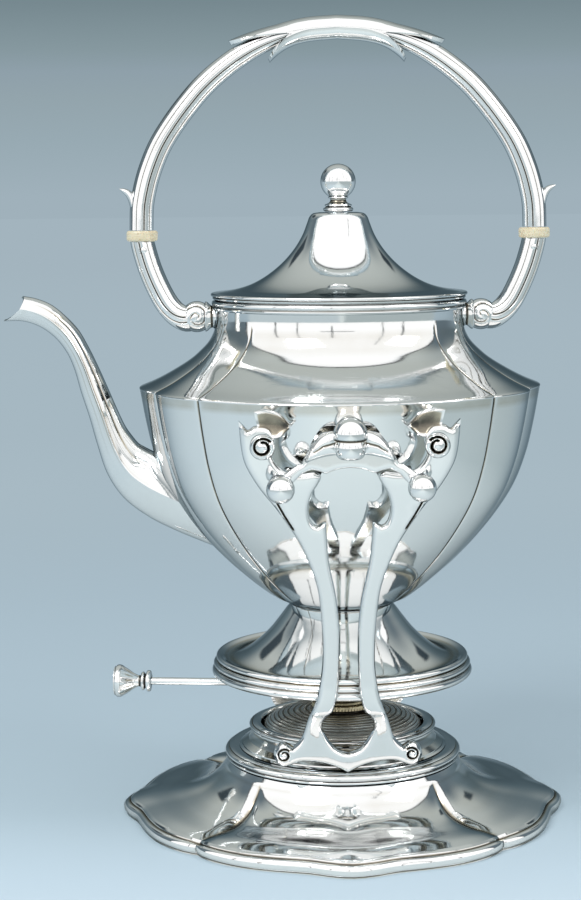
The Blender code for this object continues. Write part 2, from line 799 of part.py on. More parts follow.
# Spout
def spout_ring(bm, shares, wall, is_tip):
    upper_x, upper_z, lower_x, lower_z, width = shares
    upper = Vector((-(body_radius + upper_x * spout_projection), spout_base + upper_z * spout_rise))
    lower = Vector((-(body_radius + lower_x * spout_projection), spout_base + lower_z * spout_rise))
    centre = (upper + lower) / 2
    half = (upper - lower) / 2
    half -= half.normalized() * wall
    spread = spout_root_half_width - spout_tip_half_width
    tip_share = spout_section_shares[-1][4]
    half_width = spout_tip_half_width + spread * (width - tip_share) / (1.0 - tip_share) - wall
    ring = []
    rounds = [(across, 1.0) for across in spout_round_shares]
    rounds += [(across, -1.0) for across in reversed(spout_round_shares[1:-1])]
    for across, facing in rounds:
        bulge = facing * (1.0 - abs(across) ** spout_roundness)
        point = centre + half * bulge
        notch = spout_tip_notch * abs(across) if is_tip else 0.0
        ring.append(bm.verts.new((point.x + notch, across * half_width, point.y)))
    return ring


def make_spout(joint, body_tool):
    bm = bmesh.new()
    last = len(spout_section_shares) - 1
    outer = []
    inner = []
    for index, shares in enumerate(spout_section_shares):
        outer.append(spout_ring(bm, shares, 0.0, index == last))
        inner.append(spout_ring(bm, shares, spout_wall, index == last))
    add_rings(bm, outer + inner[::-1], True)
    spout = add_piece("spout", bm, polished_silver, joint, 32.0)
    combine(spout, body_tool, "DIFFERENCE")


# Lugs that hang the kettle in the brackets
def lug_outline():
    bottom = scaled(lug_plate_shares, lug_half_width, lug_height, 0.0, lug_base)
    leaf = scaled(lug_leaf_shares, lug_half_width, lug_height, 0.0, lug_base)
    return bottom, leaf


def make_lug(name, side, joint, body_tool):
    bottom, leaf = lug_outline()
    shoulder = Vector(leaf[0])
    eye = Vector((pin_offset, pin_height))
    along = (eye - shoulder).normalized()
    across = Vector((along.y, -along.x)) * finger_half_width
    turn = math.degrees(math.atan2(-along.y, -along.x))
    spread = math.degrees(math.asin(finger_half_width / eye_radius))
    bore = pin_radius + running_gap
    near_shoulder = tuple(shoulder + along * finger_half_width + across)
    run = along * finger_half_width * finger_run_share
    far_shoulder = tuple(shoulder - across * finger_back_share + run)

    eye_arc = arc_points(tuple(eye), eye_radius, turn + spread, turn + 360.0 - spread, 9)
    left = [(-x, z) for x, z in bottom[:0:-1]]
    left_side = [(-near_shoulder[0], near_shoulder[1])] + [(-x, z) for x, z in eye_arc]
    left_side.append((-far_shoulder[0], far_shoulder[1]))

    hook_bore = bore + running_gap
    inner_arc = arc_points(tuple(eye), hook_bore, 180.0, 0.0, 6)
    outer_arc = arc_points(tuple(eye), eye_radius, 0.0, turn - spread, 4)
    right_side = [near_shoulder, (eye.x - eye_radius, eye.y)] + inner_arc + outer_arc + [far_shoulder]

    outline = bottom + right_side + leaf[1:-1]
    mirrored_leaf = [(-x, z) for x, z in leaf[::-1]]
    outline += mirrored_leaf[:-1] + left_side[::-1] + left[::-1]
    outline = [point for index, point in enumerate(outline) if point != outline[index - 1]]
    hole = arc_points((-pin_offset, pin_height), bore, 0.0, 324.0, 9)
    bm = bmesh.new()
    add_plate(bm, outline, [hole], rounded_layers(lug_back_distance, lug_front_distance, lug_edge))
    for vert in bm.verts:
        vert.co.y *= side
    lug = add_piece(name, bm, polished_silver, joint)

    bm = bmesh.new()
    deep = body_radius - stem_reach
    face = lug_back_distance + lug_thickness / 2
    stem_base = lug_base + lug_height * stem_base_share
    stem_top = lug_base + lug_height * stem_top_share
    low = (-stem_half_width, min(side * deep, side * face), stem_base)
    high = (stem_half_width, max(side * deep, side * face), stem_top)
    add_box(bm, low, high)
    combine(lug, add_tool(name + "_stem_tool", bm, joint), "UNION")
    combine(lug, body_tool, "DIFFERENCE")


def make_bud(name, side, joint):
    base = lug_base + lug_height * bud_base_share
    section = scaled(bud_section_shares, bud_radius, bud_height, 0.0, base)
    centre = (0.0, side * (lug_front_distance + bud_forward), 0.0)
    bm = bmesh.new()
    turn_section(bm, section, even_angles(small_segments + 2), centre)
    bud = add_piece(name, bm, polished_silver, joint)

    bm = bmesh.new()
    face = lug_front_distance + seat_gap
    back = body_radius - bud_radius
    plate_top = lug_base + lug_height * lug_leaf_shares[-1][1]
    low = (-lug_half_width, min(side * back, side * face), lug_base - bud_height)
    high = (lug_half_width, max(side * back, side * face), plate_top + seat_gap)
    add_box(bm, low, high)
    combine(bud, add_tool(name + "_seat_tool", bm, joint), "DIFFERENCE")


# Lid
def make_lid(joint):
    outer = scaled(lid_section_shares, lid_radius, lid_height, 0.0, rim_seam)
    slope = outer[4:]
    inner = thinned(offset_line(slope, lid_wall))
    inner[-1] = (inner[-1][0], lid_top - lid_wall)
    hole = finial_screw_radius + running_gap
    section = outer + [(hole, lid_top), (hole, lid_top - lid_wall)] + inner[::-1]
    rim_inner = lid_radius - lid_rim_width
    section += [(rim_inner, rim_seam + lid_wall), (rim_inner, rim_seam)]
    bm = bmesh.new()
    turn_section(bm, section, even_angles(round_segments))
    add_piece("lid_shell", bm, polished_silver, joint)

    bezel_outer = neck_radius - body_wall - running_gap
    bezel_top = rim_seam + lid_wall
    section = [(bezel_outer - bezel_wall, neck_top - bezel_depth), (bezel_outer, neck_top - bezel_depth)]
    section += [(bezel_outer, bezel_top), (bezel_outer - bezel_wall, bezel_top)]
    bm = bmesh.new()
    turn_section(bm, section, lobe_angles())
    add_piece("lid_bezel", bm, shaded_silver, joint)


def make_finial(joint):
    outer = scaled(finial_section_shares, finial_radius, finial_height, 0.0, finial_base)
    ball_centre = finial_base + finial_height - finial_radius
    screw_end = finial_base - finial_screw_length
    section = [(0.0, screw_end), (finial_screw_radius, screw_end)]
    section += [(finial_screw_radius, finial_base)] + outer
    section += arc_points((0.0, ball_centre), finial_radius, -62.0, 90.0, 7)[:-1]
    section.append((0.0, finial_base + finial_height))
    bm = bmesh.new()
    turn_section(bm, section, even_angles(small_segments + 4))
    add_piece("lid_finial", bm, polished_silver, joint)

    top = lid_top - lid_wall - seat_gap
    bore = finial_screw_radius + running_gap
    section = [(bore, top - nut_height), (nut_radius, top - nut_height), (nut_radius, top), (bore, top)]
    bm = bmesh.new()
    turn_section(bm, section, even_angles(6))
    add_piece("finial_nut", bm, brass, joint, 20.0)


# Lid hinge
def hinge_axis():
    return (hinge_axis_distance, hinge_axis_height)


def add_hinge_leaf(bm, outline):
    # The outline is in the YZ plane; the leaf runs along X.
    bore = arc_points(hinge_axis(), hinge_pin_radius + seat_gap, 0.0, 324.0, 9)
    add_plate(bm, outline, [bore], [(-hinge_half_length, 0.0), (hinge_half_length, 0.0)])
    for vert in bm.verts:
        vert.co = Vector((vert.co.y, vert.co.x, vert.co.z))


def make_hinge(kettle_joint, lid_joint):
    axis = hinge_axis()
    knuckle = hinge_knuckle_radius
    knuckle_half = hinge_half_length / 3
    wall_face = neck_ring_radius + seat_gap
    outer_face = wall_face + hinge_leaf_thickness
    foot = neck_top - hinge_body_leaf_height
    seam = neck_top - seat_gap
    outline = [(wall_face, foot), (outer_face, foot), (outer_face, neck_top - knuckle)]
    outline += arc_points(axis, knuckle, -60.0, 205.0, 12) + [(outer_face, seam), (wall_face, seam)]
    bm = bmesh.new()
    add_hinge_leaf(bm, outline)
    leaf = add_piece("body_hinge_leaf", bm, polished_silver, kettle_joint)
    bm = bmesh.new()
    slot = knuckle_half + hinge_knuckle_gap
    low = (-slot, axis[0] - knuckle - seat_gap, axis[1] - knuckle - hinge_standoff)
    add_box(bm, low, (slot, axis[0] + knuckle + cutter_overrun, axis[1] + knuckle + cutter_overrun))
    combine(leaf, add_tool("body_leaf_slot_tool", bm, kettle_joint), "DIFFERENCE")

    rim_top = rim_seam + lid_height * lid_section_shares[3][1]
    brim_rise = lid_height * (lid_section_shares[4][1] - lid_section_shares[3][1])
    brim_run = lid_radius * (lid_section_shares[3][0] - lid_section_shares[4][0])
    tip = lid_radius - hinge_lid_leaf_length
    bottom = rim_top + seat_gap
    tip_bottom = bottom + brim_rise * hinge_lid_leaf_length / brim_run
    outline = [(tip, tip_bottom), (lid_radius - knuckle / 2, bottom), (lid_radius + seat_gap, bottom)]
    outline += arc_points(axis, knuckle, 150.0, 440.0, 14)
    top = max(bottom + hinge_leaf_thickness, axis[1] + knuckle)
    outline += [(lid_radius, top), (tip, tip_bottom + hinge_leaf_thickness)]
    bm = bmesh.new()
    add_hinge_leaf(bm, outline)
    leaf = add_piece("lid_hinge_leaf", bm, polished_silver, lid_joint)
    bm = bmesh.new()
    for side in (-1.0, 1.0):
        inner_end = side * (knuckle_half - hinge_knuckle_gap / 2)
        ends = sorted((inner_end, side * (hinge_half_length + cutter_overrun)))
        low = (ends[0], axis[0] - knuckle - seat_gap, axis[1] - knuckle - cutter_overrun)
        add_box(bm, low, (ends[1], axis[0] + knuckle + cutter_overrun, axis[1] + knuckle + cutter_overrun))
    combine(leaf, add_tool("lid_leaf_slot_tool", bm, lid_joint), "DIFFERENCE")

    bm = bmesh.new()
    start = (-hinge_half_length - seat_gap, axis[0], axis[1])
    add_rod(bm, start, "X", hinge_pin_radius, (hinge_half_length + seat_gap) * 2, 10)
    add_piece("hinge_pin", bm, shaded_silver, kettle_joint)


# Bail handle
def bail_point(shares):
    return (shares[0] * bail_half_span, bail_axis_height + shares[1] * bail_rise)


def make_socket(name, side, joint, body_tool):
    start = neck_radius - running_gap
    length = socket_face() - start
    outer = scaled(socket_section_shares, socket_radius, length, 0.0, start)
    bore = pivot_pin_radius + running_gap
    floor = start + length * socket_floor_share
    section = [(0.0, start)] + outer + [(bore, start + length), (bore, floor), (0.0, floor)]
    section = [(radius, side * along) for radius, along in section]
    bm = bmesh.new()
    turn_section(bm, section, even_angles(small_segments), (0.0, 0.0, bail_axis_height), "X")
    socket = add_piece(name, bm, polished_silver, joint)
    combine(socket, body_tool, "DIFFERENCE")


def socket_face():
    return neck_ring_radius - running_gap + socket_length


def make_stub(name, side, joint):
    start = socket_face() + seat_gap
    span = bail_half_span - start
    rise = ring_base - seat_gap - bail_axis_height
    line = [(start + x * span, bail_axis_height + z * rise) for x, z in stub_path_shares]
    path = smooth_line(line, 2)
    radii = [bail_radius] * len(path)
    bm = bmesh.new()
    headings = ((side, 0.0), (0.0, 1.0))
    add_swept_tube(bm, [(side * x, z) for x, z in path], radii, tube_segments, headings)
    stub = add_piece(name, bm, polished_silver, joint)

    reach = socket_length * pivot_pin_share
    bm = bmesh.new()
    pin_start = side * (start - reach) if side > 0 else side * (start + bail_radius)
    add_rod(bm, (pin_start, 0.0, bail_axis_height), "X", pivot_pin_radius, reach + bail_radius, 12)
    combine(stub, add_tool(name + "_pivot_tool", bm, joint), "UNION")

    bm = bmesh.new()
    peg_base = ring_base - bail_radius
    peg_top = ring_base + ring_thickness + peg_length
    add_rod(bm, (side * bail_half_span, 0.0, peg_base), "Z", peg_radius, peg_top - peg_base, 10)
    combine(stub, add_tool(name + "_peg_tool", bm, joint), "UNION")

    bm = bmesh.new()
    rivet_height = ring_base - rivet_drop
    rivet_reach = bail_radius + cutter_overrun
    rivet_start = (side * bail_half_span * rivet_place_share, -rivet_reach, rivet_height)
    add_rod(bm, rivet_start, "Y", rivet_radius + seat_gap, rivet_reach * 2, 8)
    combine(stub, add_tool(name + "_rivet_tool", bm, joint), "DIFFERENCE")


def make_rivet(name, side, joint):
    place = (side * bail_half_span * rivet_place_share, 0.0, ring_base - rivet_drop)
    reach = bail_radius + seat_gap
    head = reach + rivet_radius / 2
    section = [(0.0, -head), (rivet_head_radius, -reach), (rivet_radius, -reach)]
    section += [(rivet_radius, reach), (rivet_head_radius, reach), (0.0, head)]
    bm = bmesh.new()
    turn_section(bm, section, even_angles(8), place, "Y")
    add_piece(name, bm, polished_silver, joint)


def make_ring(name, side, joint):
    half = ring_thickness / 2
    round_edge = ring_thickness * ring_edge_share
    bore = peg_radius + seat_gap
    section = [(bore, -half), (ring_radius - round_edge, -half), (ring_radius, round_edge - half)]
    section += [(ring_radius, half - round_edge), (ring_radius - round_edge, half), (bore, half)]
    bm = bmesh.new()
    centre = (side * bail_half_span, 0.0, ring_base + half)
    turn_section(bm, section, even_angles(small_segments), centre)
    add_piece(name, bm, ivory, joint)


def bail_radius_at(x):
    growth = share_at(bail_taper_shares, abs(x) / bail_half_span)
    return bail_top_radius + growth * (bail_radius - bail_top_radius)


def bail_path():
    start = (bail_half_span, ring_base + ring_thickness + seat_gap)
    half = [start] + [bail_point(shares) for shares in bail_path_shares[1:]]
    right = smooth_line(half, 1)
    return right + [(-x, z) for x, z in right[-2::-1]]


def add_thorn(bm, side):
    # A small leaf point that leaves the bar outward and upward.
    root = Vector(bail_point(bail_path_shares[1]))
    path = [root + Vector(shares) * thorn_length for shares in thorn_path_shares]
    radii = [thorn_radius * share for share in thorn_taper_shares]
    add_swept_tube(bm, [(side * point.x, point.y) for point in path], radii, 8)


def make_bail(joint):
    path = bail_path()
    bm = bmesh.new()
    headings = ((0.0, 1.0), (0.0, -1.0))
    add_swept_tube(bm, path, [bail_radius_at(x) for x, _ in path], tube_segments, headings)
    bail = add_piece("bail_arch", bm, polished_silver, joint)
    bm = bmesh.new()
    for side in (-1.0, 1.0):
        add_thorn(bm, side)
    combine(bail, add_tool("thorn_tool", bm, joint), "UNION")
    bm = bmesh.new()
    base = ring_base + ring_thickness - cutter_overrun
    for side in (-1.0, 1.0):
        hole = (side * bail_half_span, 0.0, base)
        add_rod(bm, hole, "Z", peg_radius + seat_gap, peg_length + cutter_overrun + peg_end_gap, 10)
    combine(bail, add_tool("peg_hole_tool", bm, joint), "DIFFERENCE")


def sheath_end(angle):
    # How far the leaf sheath reaches along the bar on each side, by direction round it.
    top = max(math.cos(angle), 0.0) ** 3
    bottom = max(-math.cos(angle), 0.0) ** 3
    middle_share, top_share, bottom_share = sheath_reach_shares
    return bail_half_span * (middle_share + top_share * top + bottom_share * bottom)


def make_sheath(joint):
    path = bail_path()
    lengths = [0.0]
    for first, second in zip(path, path[1:]):
        lengths.append(lengths[-1] + (Vector(second) - Vector(first)).length)
    middle = lengths[-1] / 2
    bm = bmesh.new()
    layers = []
    for clearance in (sheath_gap, sheath_gap + sheath_wall):
        rings = []
        for step in range(sheath_steps + 1):
            share = 2.0 * step / sheath_steps - 1.0
            ring = []
            for angle in even_angles(sheath_sides):
                along = middle + share * sheath_end(angle)
                index = max(position for position, length in enumerate(lengths) if length <= along)
                index = min(index, len(path) - 2)
                start = Vector(path[index])
                heading = (Vector(path[index + 1]) - start).normalized()
                point = start + heading * (along - lengths[index])
                normal = Vector((heading.y, -heading.x))
                radius = bail_radius_at(point.x) + clearance
                across = radius * math.cos(angle)
                place = point + normal * across
                ring.append(bm.verts.new((place.x, radius * math.sin(angle), place.y)))
            rings.append(ring)
        layers.append(rings)
    add_rings(bm, layers[0] + layers[1][::-1], True)
    add_piece("bail_sheath", bm, polished_silver, joint)


# Spirit lamp
def make_lamp(joint):
    shoulder = reservoir_shoulder
    neck = lamp_neck_radius
    outer = [(0.0, reservoir_base), (reservoir_radius - reservoir_edge, reservoir_base)]
    outer += [(reservoir_radius, reservoir_base + reservoir_edge), (reservoir_radius, shoulder - lamp_wall)]
    dome_run = reservoir_radius - neck
    dome = []
    for step in range(1, 5):
        turn = math.pi / 2 * step / 5
        dome.append((neck + dome_run * math.cos(turn), shoulder + lamp_dome_height * math.sin(turn)))
    inner_dome = offset_line(dome, lamp_wall)
    section = outer + dome + [(neck, lamp_neck_base), (neck, lamp_neck_top)]
    section += [(neck - lamp_wall, lamp_neck_top), (neck - lamp_wall, lamp_neck_base - lamp_wall)]
    section += inner_dome[::-1]
    inner_radius = reservoir_radius - lamp_wall
    inner_floor = reservoir_base + lamp_wall
    section += [(inner_radius, shoulder - reservoir_edge), (inner_radius, inner_floor + lamp_wall)]
    section += [(reservoir_radius - reservoir_edge, inner_floor), (0.0, inner_floor)]
    bm = bmesh.new()
    turn_section(bm, section, even_angles(round_segments))
    add_piece("lamp_reservoir", bm, shaded_silver, joint)

    hole = math.hypot(wick_tube_half_width, wick_tube_half_depth) + running_gap
    inner = lamp_neck_radius + seat_gap
    inner_top = lamp_neck_top + seat_gap
    edge = burner_cap_wall
    cap_floor = burner_cap_base + burner_cap_wall
    section = [(inner, cap_floor), (burner_cap_radius, cap_floor)]
    section += [(burner_cap_radius, burner_cap_top - edge), (burner_cap_radius - edge, burner_cap_top)]
    section += [(hole, burner_cap_top), (hole, inner_top), (inner, inner_top)]
    bm = bmesh.new()
    turn_section(bm, section, even_angles(small_segments * 2))
    add_piece("burner_cap", bm, brass, joint)


def rectangle(half_x, half_y):
    return [(-half_x, -half_y), (half_x, -half_y), (half_x, half_y), (-half_x, half_y)]


def add_rectangular_tube(bm, outer, inner, low, high):
    rings = []
    for outline, level in ((outer, low), (outer, high), (inner, high), (inner, low)):
        rings.append([bm.verts.new((x, y, level)) for x, y in outline])
    add_rings(bm, rings, True)


def make_burner(joint):
    slot = rectangle(wick_slot_half_width, wick_slot_half_depth)
    outside = rectangle(wick_tube_half_width, wick_tube_half_depth)
    tube_base = flange_base - wick_tube_drop
    tube_top = burner_base + burner_height
    bm = bmesh.new()
    add_rectangular_tube(bm, outside, slot, tube_base, tube_top)
    tube = add_piece("wick_tube", bm, brass, joint, 20.0)
    bm = bmesh.new()
    hole = wick_slot_half_width
    flange_top = flange_base + flange_thickness
    section = [(hole, flange_base), (flange_radius, flange_base)]
    section += [(flange_radius, flange_top), (hole, flange_top)]
    turn_section(bm, section, even_angles(small_segments * 2))
    combine(tube, add_tool("flange_tool", bm, joint), "UNION")
    bm = bmesh.new()
    fill = rectangle(wick_tube_half_width, flange_radius * flange_fill_share)
    add_rectangular_tube(bm, fill, slot, flange_base, flange_top)
    combine(tube, add_tool("flange_fill_tool", bm, joint), "UNION")
    bm = bmesh.new()
    window = pinion_width / 2 + running_gap
    low = (-window, wick_slot_half_depth - running_gap / 2, winder_height - pinion_radius - pinion_gap)
    add_box(bm, low, (window, flange_radius, tube_top + cutter_overrun))
    combine(tube, add_tool("wick_window_tool", bm, joint), "DIFFERENCE")

    bm = bmesh.new()
    inner = burner_radius - burner_wall
    top = burner_base + burner_height
    section = [(inner, burner_base), (burner_radius, burner_base), (burner_radius, top), (inner, top)]
    turn_section(bm, section, even_angles(small_segments * 2))
    housing = add_piece("burner_housing", bm, brass, joint)
    bm = bmesh.new()
    start = (-burner_radius - cutter_overrun, winder_offset, winder_height)
    add_rod(bm, start, "X", winder_radius + running_gap, (burner_radius + cutter_overrun) * 2, 12)
    combine(housing, add_tool("winder_bore_tool", bm, joint), "DIFFERENCE")


def make_wick(joint):
    bm = bmesh.new()
    low = (-wick_width / 2, -wick_thickness / 2, wick_top - wick_length)
    add_box(bm, low, (wick_width / 2, wick_thickness / 2, wick_top))
    add_piece("wick", bm, cotton, joint, 20.0)


def make_winder(joint):
    start = (-winder_reach, winder_offset, winder_height)
    bm = bmesh.new()
    add_rod(bm, start, "X", winder_radius, winder_reach + burner_radius + winder_overrun, 12)
    add_piece("winder_shaft", bm, polished_silver, joint)

    bm = bmesh.new()
    teeth = 12
    bore = winder_radius + seat_gap
    rings = []
    half = pinion_width / 2
    for radius_kind, along in (("bore", -half), ("teeth", -half), ("teeth", half), ("bore", half)):
        ring = []
        for step in range(teeth * 2):
            angle = math.pi * step / teeth
            radius = pinion_radius - pinion_tooth_depth * (step % 2)
            if radius_kind == "bore":
                radius = bore
            across = winder_offset + radius * math.cos(angle)
            ring.append(bm.verts.new((along, across, winder_height + radius * math.sin(angle))))
        rings.append(ring)
    add_rings(bm, rings, True)
    add_piece("wick_pinion", bm, brass, joint, 20.0)

    bm = bmesh.new()
    bore = winder_radius + seat_gap
    mouth = knob_socket_depth - winder_reach
    section = [(0.0, -winder_reach - seat_gap), (bore, -winder_reach - seat_gap), (bore, mouth)]
    section += [(radius * knob_radius, mouth - along * knob_length) for radius, along in knob_section_shares]
    turn_section(bm, section, even_angles(small_segments), (0.0, winder_offset, winder_height), "X")
    add_piece("winder_knob", bm, polished_silver, joint)


def build():
    clear_scene()
    root = add_joint("kettle_axis", (0.0, 0.0, 0.0))
    make_base(root)
    make_gallery(root)
    make_bracket("front_bracket", -1.0, root)
    make_bracket("back_bracket", 1.0, root)
    for side, side_name in ((-1.0, "front"), (1.0, "back")):
        for offset, offset_name in ((-pin_offset, "left"), (pin_offset, "right")):
            name = side_name + "_" + offset_name + "_pin"
            place = (offset, side * lug_front_distance, pin_height)
            make_pin(name, offset, side, add_joint(name + "_slide", place, root))

    kettle = add_joint("kettle_tilt", (-pin_offset, 0.0, pin_height), root)
    body_tool = make_body_tool(kettle)
    make_body(kettle)
    make_neck_ring(kettle)
    make_foot(kettle)
    make_spout(kettle, body_tool)
    for side, side_name in ((-1.0, "front"), (1.0, "back")):
        make_lug(side_name + "_lug", side, kettle, body_tool)
        make_bud(side_name + "_bud", side, kettle)

    lid = add_joint("lid_hinge", (0.0, hinge_axis_distance, hinge_axis_height), kettle)
    make_lid(lid)
    make_finial(lid)
    make_hinge(kettle, lid)

    bail = add_joint("bail_swing", (0.0, 0.0, bail_axis_height), kettle)
    make_bail(bail)
    make_sheath(bail)
    for side, side_name in ((-1.0, "left"), (1.0, "right")):
        make_socket("bail_socket_" + side_name, side, kettle, body_tool)
        make_stub("bail_stub_" + side_name, side, bail)
        make_ring("ivory_ring_" + side_name, side, bail)
        make_rivet("bail_rivet_" + side_name, side, bail)

    lamp = add_joint("lamp_turn", (0.0, 0.0, reservoir_base), root, -lamp_turn_degrees)
    make_lamp(lamp)
    make_burner(lamp)
    make_winder(add_joint("wick_winder", (0.0, winder_offset, winder_height), lamp))
    make_wick(add_joint("wick_lift", (0.0, 0.0, wick_top), lamp))
    root.location.x = axis_shift


build()
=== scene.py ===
from math import asin, atan2, copysign, cos, degrees, exp, hypot, pi, radians, sin

import bmesh
import bpy
import numpy as np
from mathutils import Matrix, Vector
from mathutils.geometry import delaunay_2d_cdt


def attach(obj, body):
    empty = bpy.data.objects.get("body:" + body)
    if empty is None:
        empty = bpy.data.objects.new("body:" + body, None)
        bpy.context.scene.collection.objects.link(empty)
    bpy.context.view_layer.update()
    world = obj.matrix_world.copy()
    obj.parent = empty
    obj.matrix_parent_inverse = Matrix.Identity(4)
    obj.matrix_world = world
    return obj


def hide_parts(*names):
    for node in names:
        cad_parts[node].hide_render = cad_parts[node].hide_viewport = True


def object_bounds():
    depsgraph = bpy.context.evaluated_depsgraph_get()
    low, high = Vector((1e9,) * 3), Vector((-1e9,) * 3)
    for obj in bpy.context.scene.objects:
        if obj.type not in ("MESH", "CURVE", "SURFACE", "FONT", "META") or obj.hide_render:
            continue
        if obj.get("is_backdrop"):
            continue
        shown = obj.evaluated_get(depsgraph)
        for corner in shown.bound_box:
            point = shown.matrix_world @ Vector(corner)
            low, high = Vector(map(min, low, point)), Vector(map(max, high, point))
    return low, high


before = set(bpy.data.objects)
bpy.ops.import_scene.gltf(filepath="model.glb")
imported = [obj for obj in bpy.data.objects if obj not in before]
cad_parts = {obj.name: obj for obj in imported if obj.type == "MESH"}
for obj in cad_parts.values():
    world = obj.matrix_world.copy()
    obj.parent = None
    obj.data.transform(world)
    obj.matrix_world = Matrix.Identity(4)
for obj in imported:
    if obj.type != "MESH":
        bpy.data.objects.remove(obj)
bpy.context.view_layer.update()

# every piece is drawn in millimetres round the kettle's own axis; finishPiece puts it in the frame
mm = 0.001
axisX = 0.02585   # the axis stands to the right of the frame's origin, because of the spout
same = 1e-4       # points closer than this are one point
weld = 1e-3


# lines and outlines

def smoothLine(points, steps=6):
    # a curve through the points that doesn't overshoot where they lie close together
    pts = [Vector(p) for p in points]
    gaps = [(b - a).length ** 0.5 for a, b in zip(pts, pts[1:])]
    slopes = [(pts[1] - pts[0]) / gaps[0]]
    for i in range(1, len(pts) - 1):
        before, after = gaps[i - 1], gaps[i]
        back = (pts[i] - pts[i - 1]) / before * after
        ahead = (pts[i + 1] - pts[i]) / after * before
        slopes.append((back + ahead) / (before + after))
    slopes.append((pts[-1] - pts[-2]) / gaps[-1])
    line = []
    for i, h in enumerate(gaps):
        for t in [s / steps for s in range(steps)]:
            here = pts[i] * (1 + 2 * t) * (1 - t) ** 2 + slopes[i] * h * t * (1 - t) ** 2
            there = pts[i + 1] * t * t * (3 - 2 * t) + slopes[i + 1] * h * t * t * (t - 1)
            line.append(here + there)
    return line + [pts[-1]]


def chain(*parts, low=0.0):
    # joins points and stretches of points over one height; a shared point is kept once
    line = []
    for part in parts:
        for a, b in [part] if isinstance(part[0], (int, float)) else part:
            p = Vector((a, low + b))
            if not line or (p - line[-1]).length > same:
                line.append(p)
    return line


def softCorners(points, radius, steps=3):
    # cuts each corner between the ends with a small curve
    pts = [Vector(p) for p in points]
    line = [pts[0]]
    for before, here, after in zip(pts, pts[1:], pts[2:]):
        back, ahead = before - here, after - here
        start = here + back.normalized() * min(radius, back.length * 0.45)
        end = here + ahead.normalized() * min(radius, ahead.length * 0.45)
        for t in [s / steps for s in range(steps + 1)]:
            line.append(start * (1 - t) ** 2 + here * 2 * t * (1 - t) + end * t * t)
    return line + [pts[-1]]


def scaledLine(shares, width, height, widthFrom=0.0, heightFrom=0.0):
    return [(widthFrom + a * width, heightFrom + b * height) for a, b in shares]


def mirrored(line):
    return [(-x, z) for x, z in line]


def fullTurn(count):
    return [2 * pi * i / count for i in range(count)]


def arc(centre, radius, angles):
    return [(centre[0] + radius * cos(a), centre[1] + radius * sin(a)) for a in angles]


def reed(outer, low, high, bulge, steps=6):
    # a half-round bead on a turned edge, from one height to the other
    turns = [pi * (s / steps - 0.5) for s in range(steps + 1)]
    middle, half = (low + high) / 2, (high - low) / 2
    return [(outer - bulge + bulge * cos(t), middle + half * sin(t)) for t in turns]


def signedPower(value, power):
    return copysign(abs(value) ** power, value)


def evenly(line, gap, closed=True):
    # the same outline with its points a steady distance apart
    pts = np.array([tuple(p) for p in line], float)
    if closed:
        pts = np.vstack([pts, pts[:1]])
    run = np.concatenate([[0], np.cumsum(np.hypot(*np.diff(pts, axis=0).T))])
    at = np.linspace(0, run[-1], max(int(round(run[-1] / gap)), 8) + 1)
    spread = np.stack([np.interp(at, run, pts[:, k]) for k in range(2)], 1)
    return spread[:-1] if closed else spread


# meshes

def joinRings(bm, rings, closedLine):
    for first, second in list(zip(rings, rings[1:])) + ([(rings[-1], rings[0])] if closedLine else []):
        count = max(len(first), len(second))
        for i in range(count if count > 1 else 0):
            j = (i + 1) % count
            corners = (first[i % len(first)], first[j % len(first)],
                       second[j % len(second)], second[i % len(second)])
            bm.faces.new(list(dict.fromkeys(corners)))


def turn(bm, line, count=120, axis="Z", centre=(0, 0, 0), reshape=None, angles=None):
    # turns a closed outline of (radius, height) round an axis
    rings = []
    for radius, height in line:
        ring = []
        for angle in (angles or fullTurn(count)) if radius > same else [0.0]:
            r, h = reshape(radius, height, angle) if reshape else (radius, height)
            a, d = r * cos(angle), r * sin(angle)
            offset = {"Z": (a, d, h), "X": (h, a, d), "Y": (d, h, a)}[axis]
            ring.append(bm.verts.new(Vector(centre) + Vector(offset)))
        rings.append(ring)
    joinRings(bm, rings, True)


def sweep(bm, path, section, headings=None):
    # section(i) gives (outward, sideways) points for the path's point i; the path lies in the plane y = 0
    rings = []
    side = Vector((0, 1, 0))
    for i, here in enumerate(path):
        along = (Vector(path[min(i + 1, len(path) - 1)]) - Vector(path[max(i - 1, 0)])).normalized()
        if headings and i in (0, len(path) - 1):
            along = Vector(headings[0 if i == 0 else 1])
        outward = side.cross(along).normalized()
        rings.append([bm.verts.new(Vector(here) + outward * a + side * d) for a, d in section(i)])
    joinRings(bm, rings, False)
    for end in (rings[0], rings[-1]):
        bm.faces.new(end)


def lineDistance(points, line):
    away = np.full(len(points), 1e9)
    for a, b in zip(line, line[1:]):
        d = b - a
        t = np.clip(((points - a) @ d) / max(d @ d, 1e-12), 0, 1)
        away = np.minimum(away, np.hypot(*(points - a - t[:, None] * d).T))
    return away


def isInside(points, loop):
    inside = np.zeros(len(points), bool)
    for a, b in zip(loop, np.roll(loop, -1, axis=0)):
        d = b - a
        crosses = (a[1] > points[:, 1]) != (b[1] > points[:, 1])
        if crosses.any():
            inside ^= crosses & (points[:, 0] < a[0] + (points[:, 1] - a[1]) / d[1] * d[0])
    return inside


def edgeDistance(points, loop):
    # how far each point is from a closed outline, and whether it lies inside
    return lineDistance(points, np.vstack([loop, loop[:1]])), isInside(points, loop)


def inAny(point, loops):
    return any(isInside(point[None], loop)[0] for loop in loops)


def crossways(line, step):
    return np.stack([-step[:, 1], step[:, 0]], 1) / np.hypot(*step.T)[:, None]


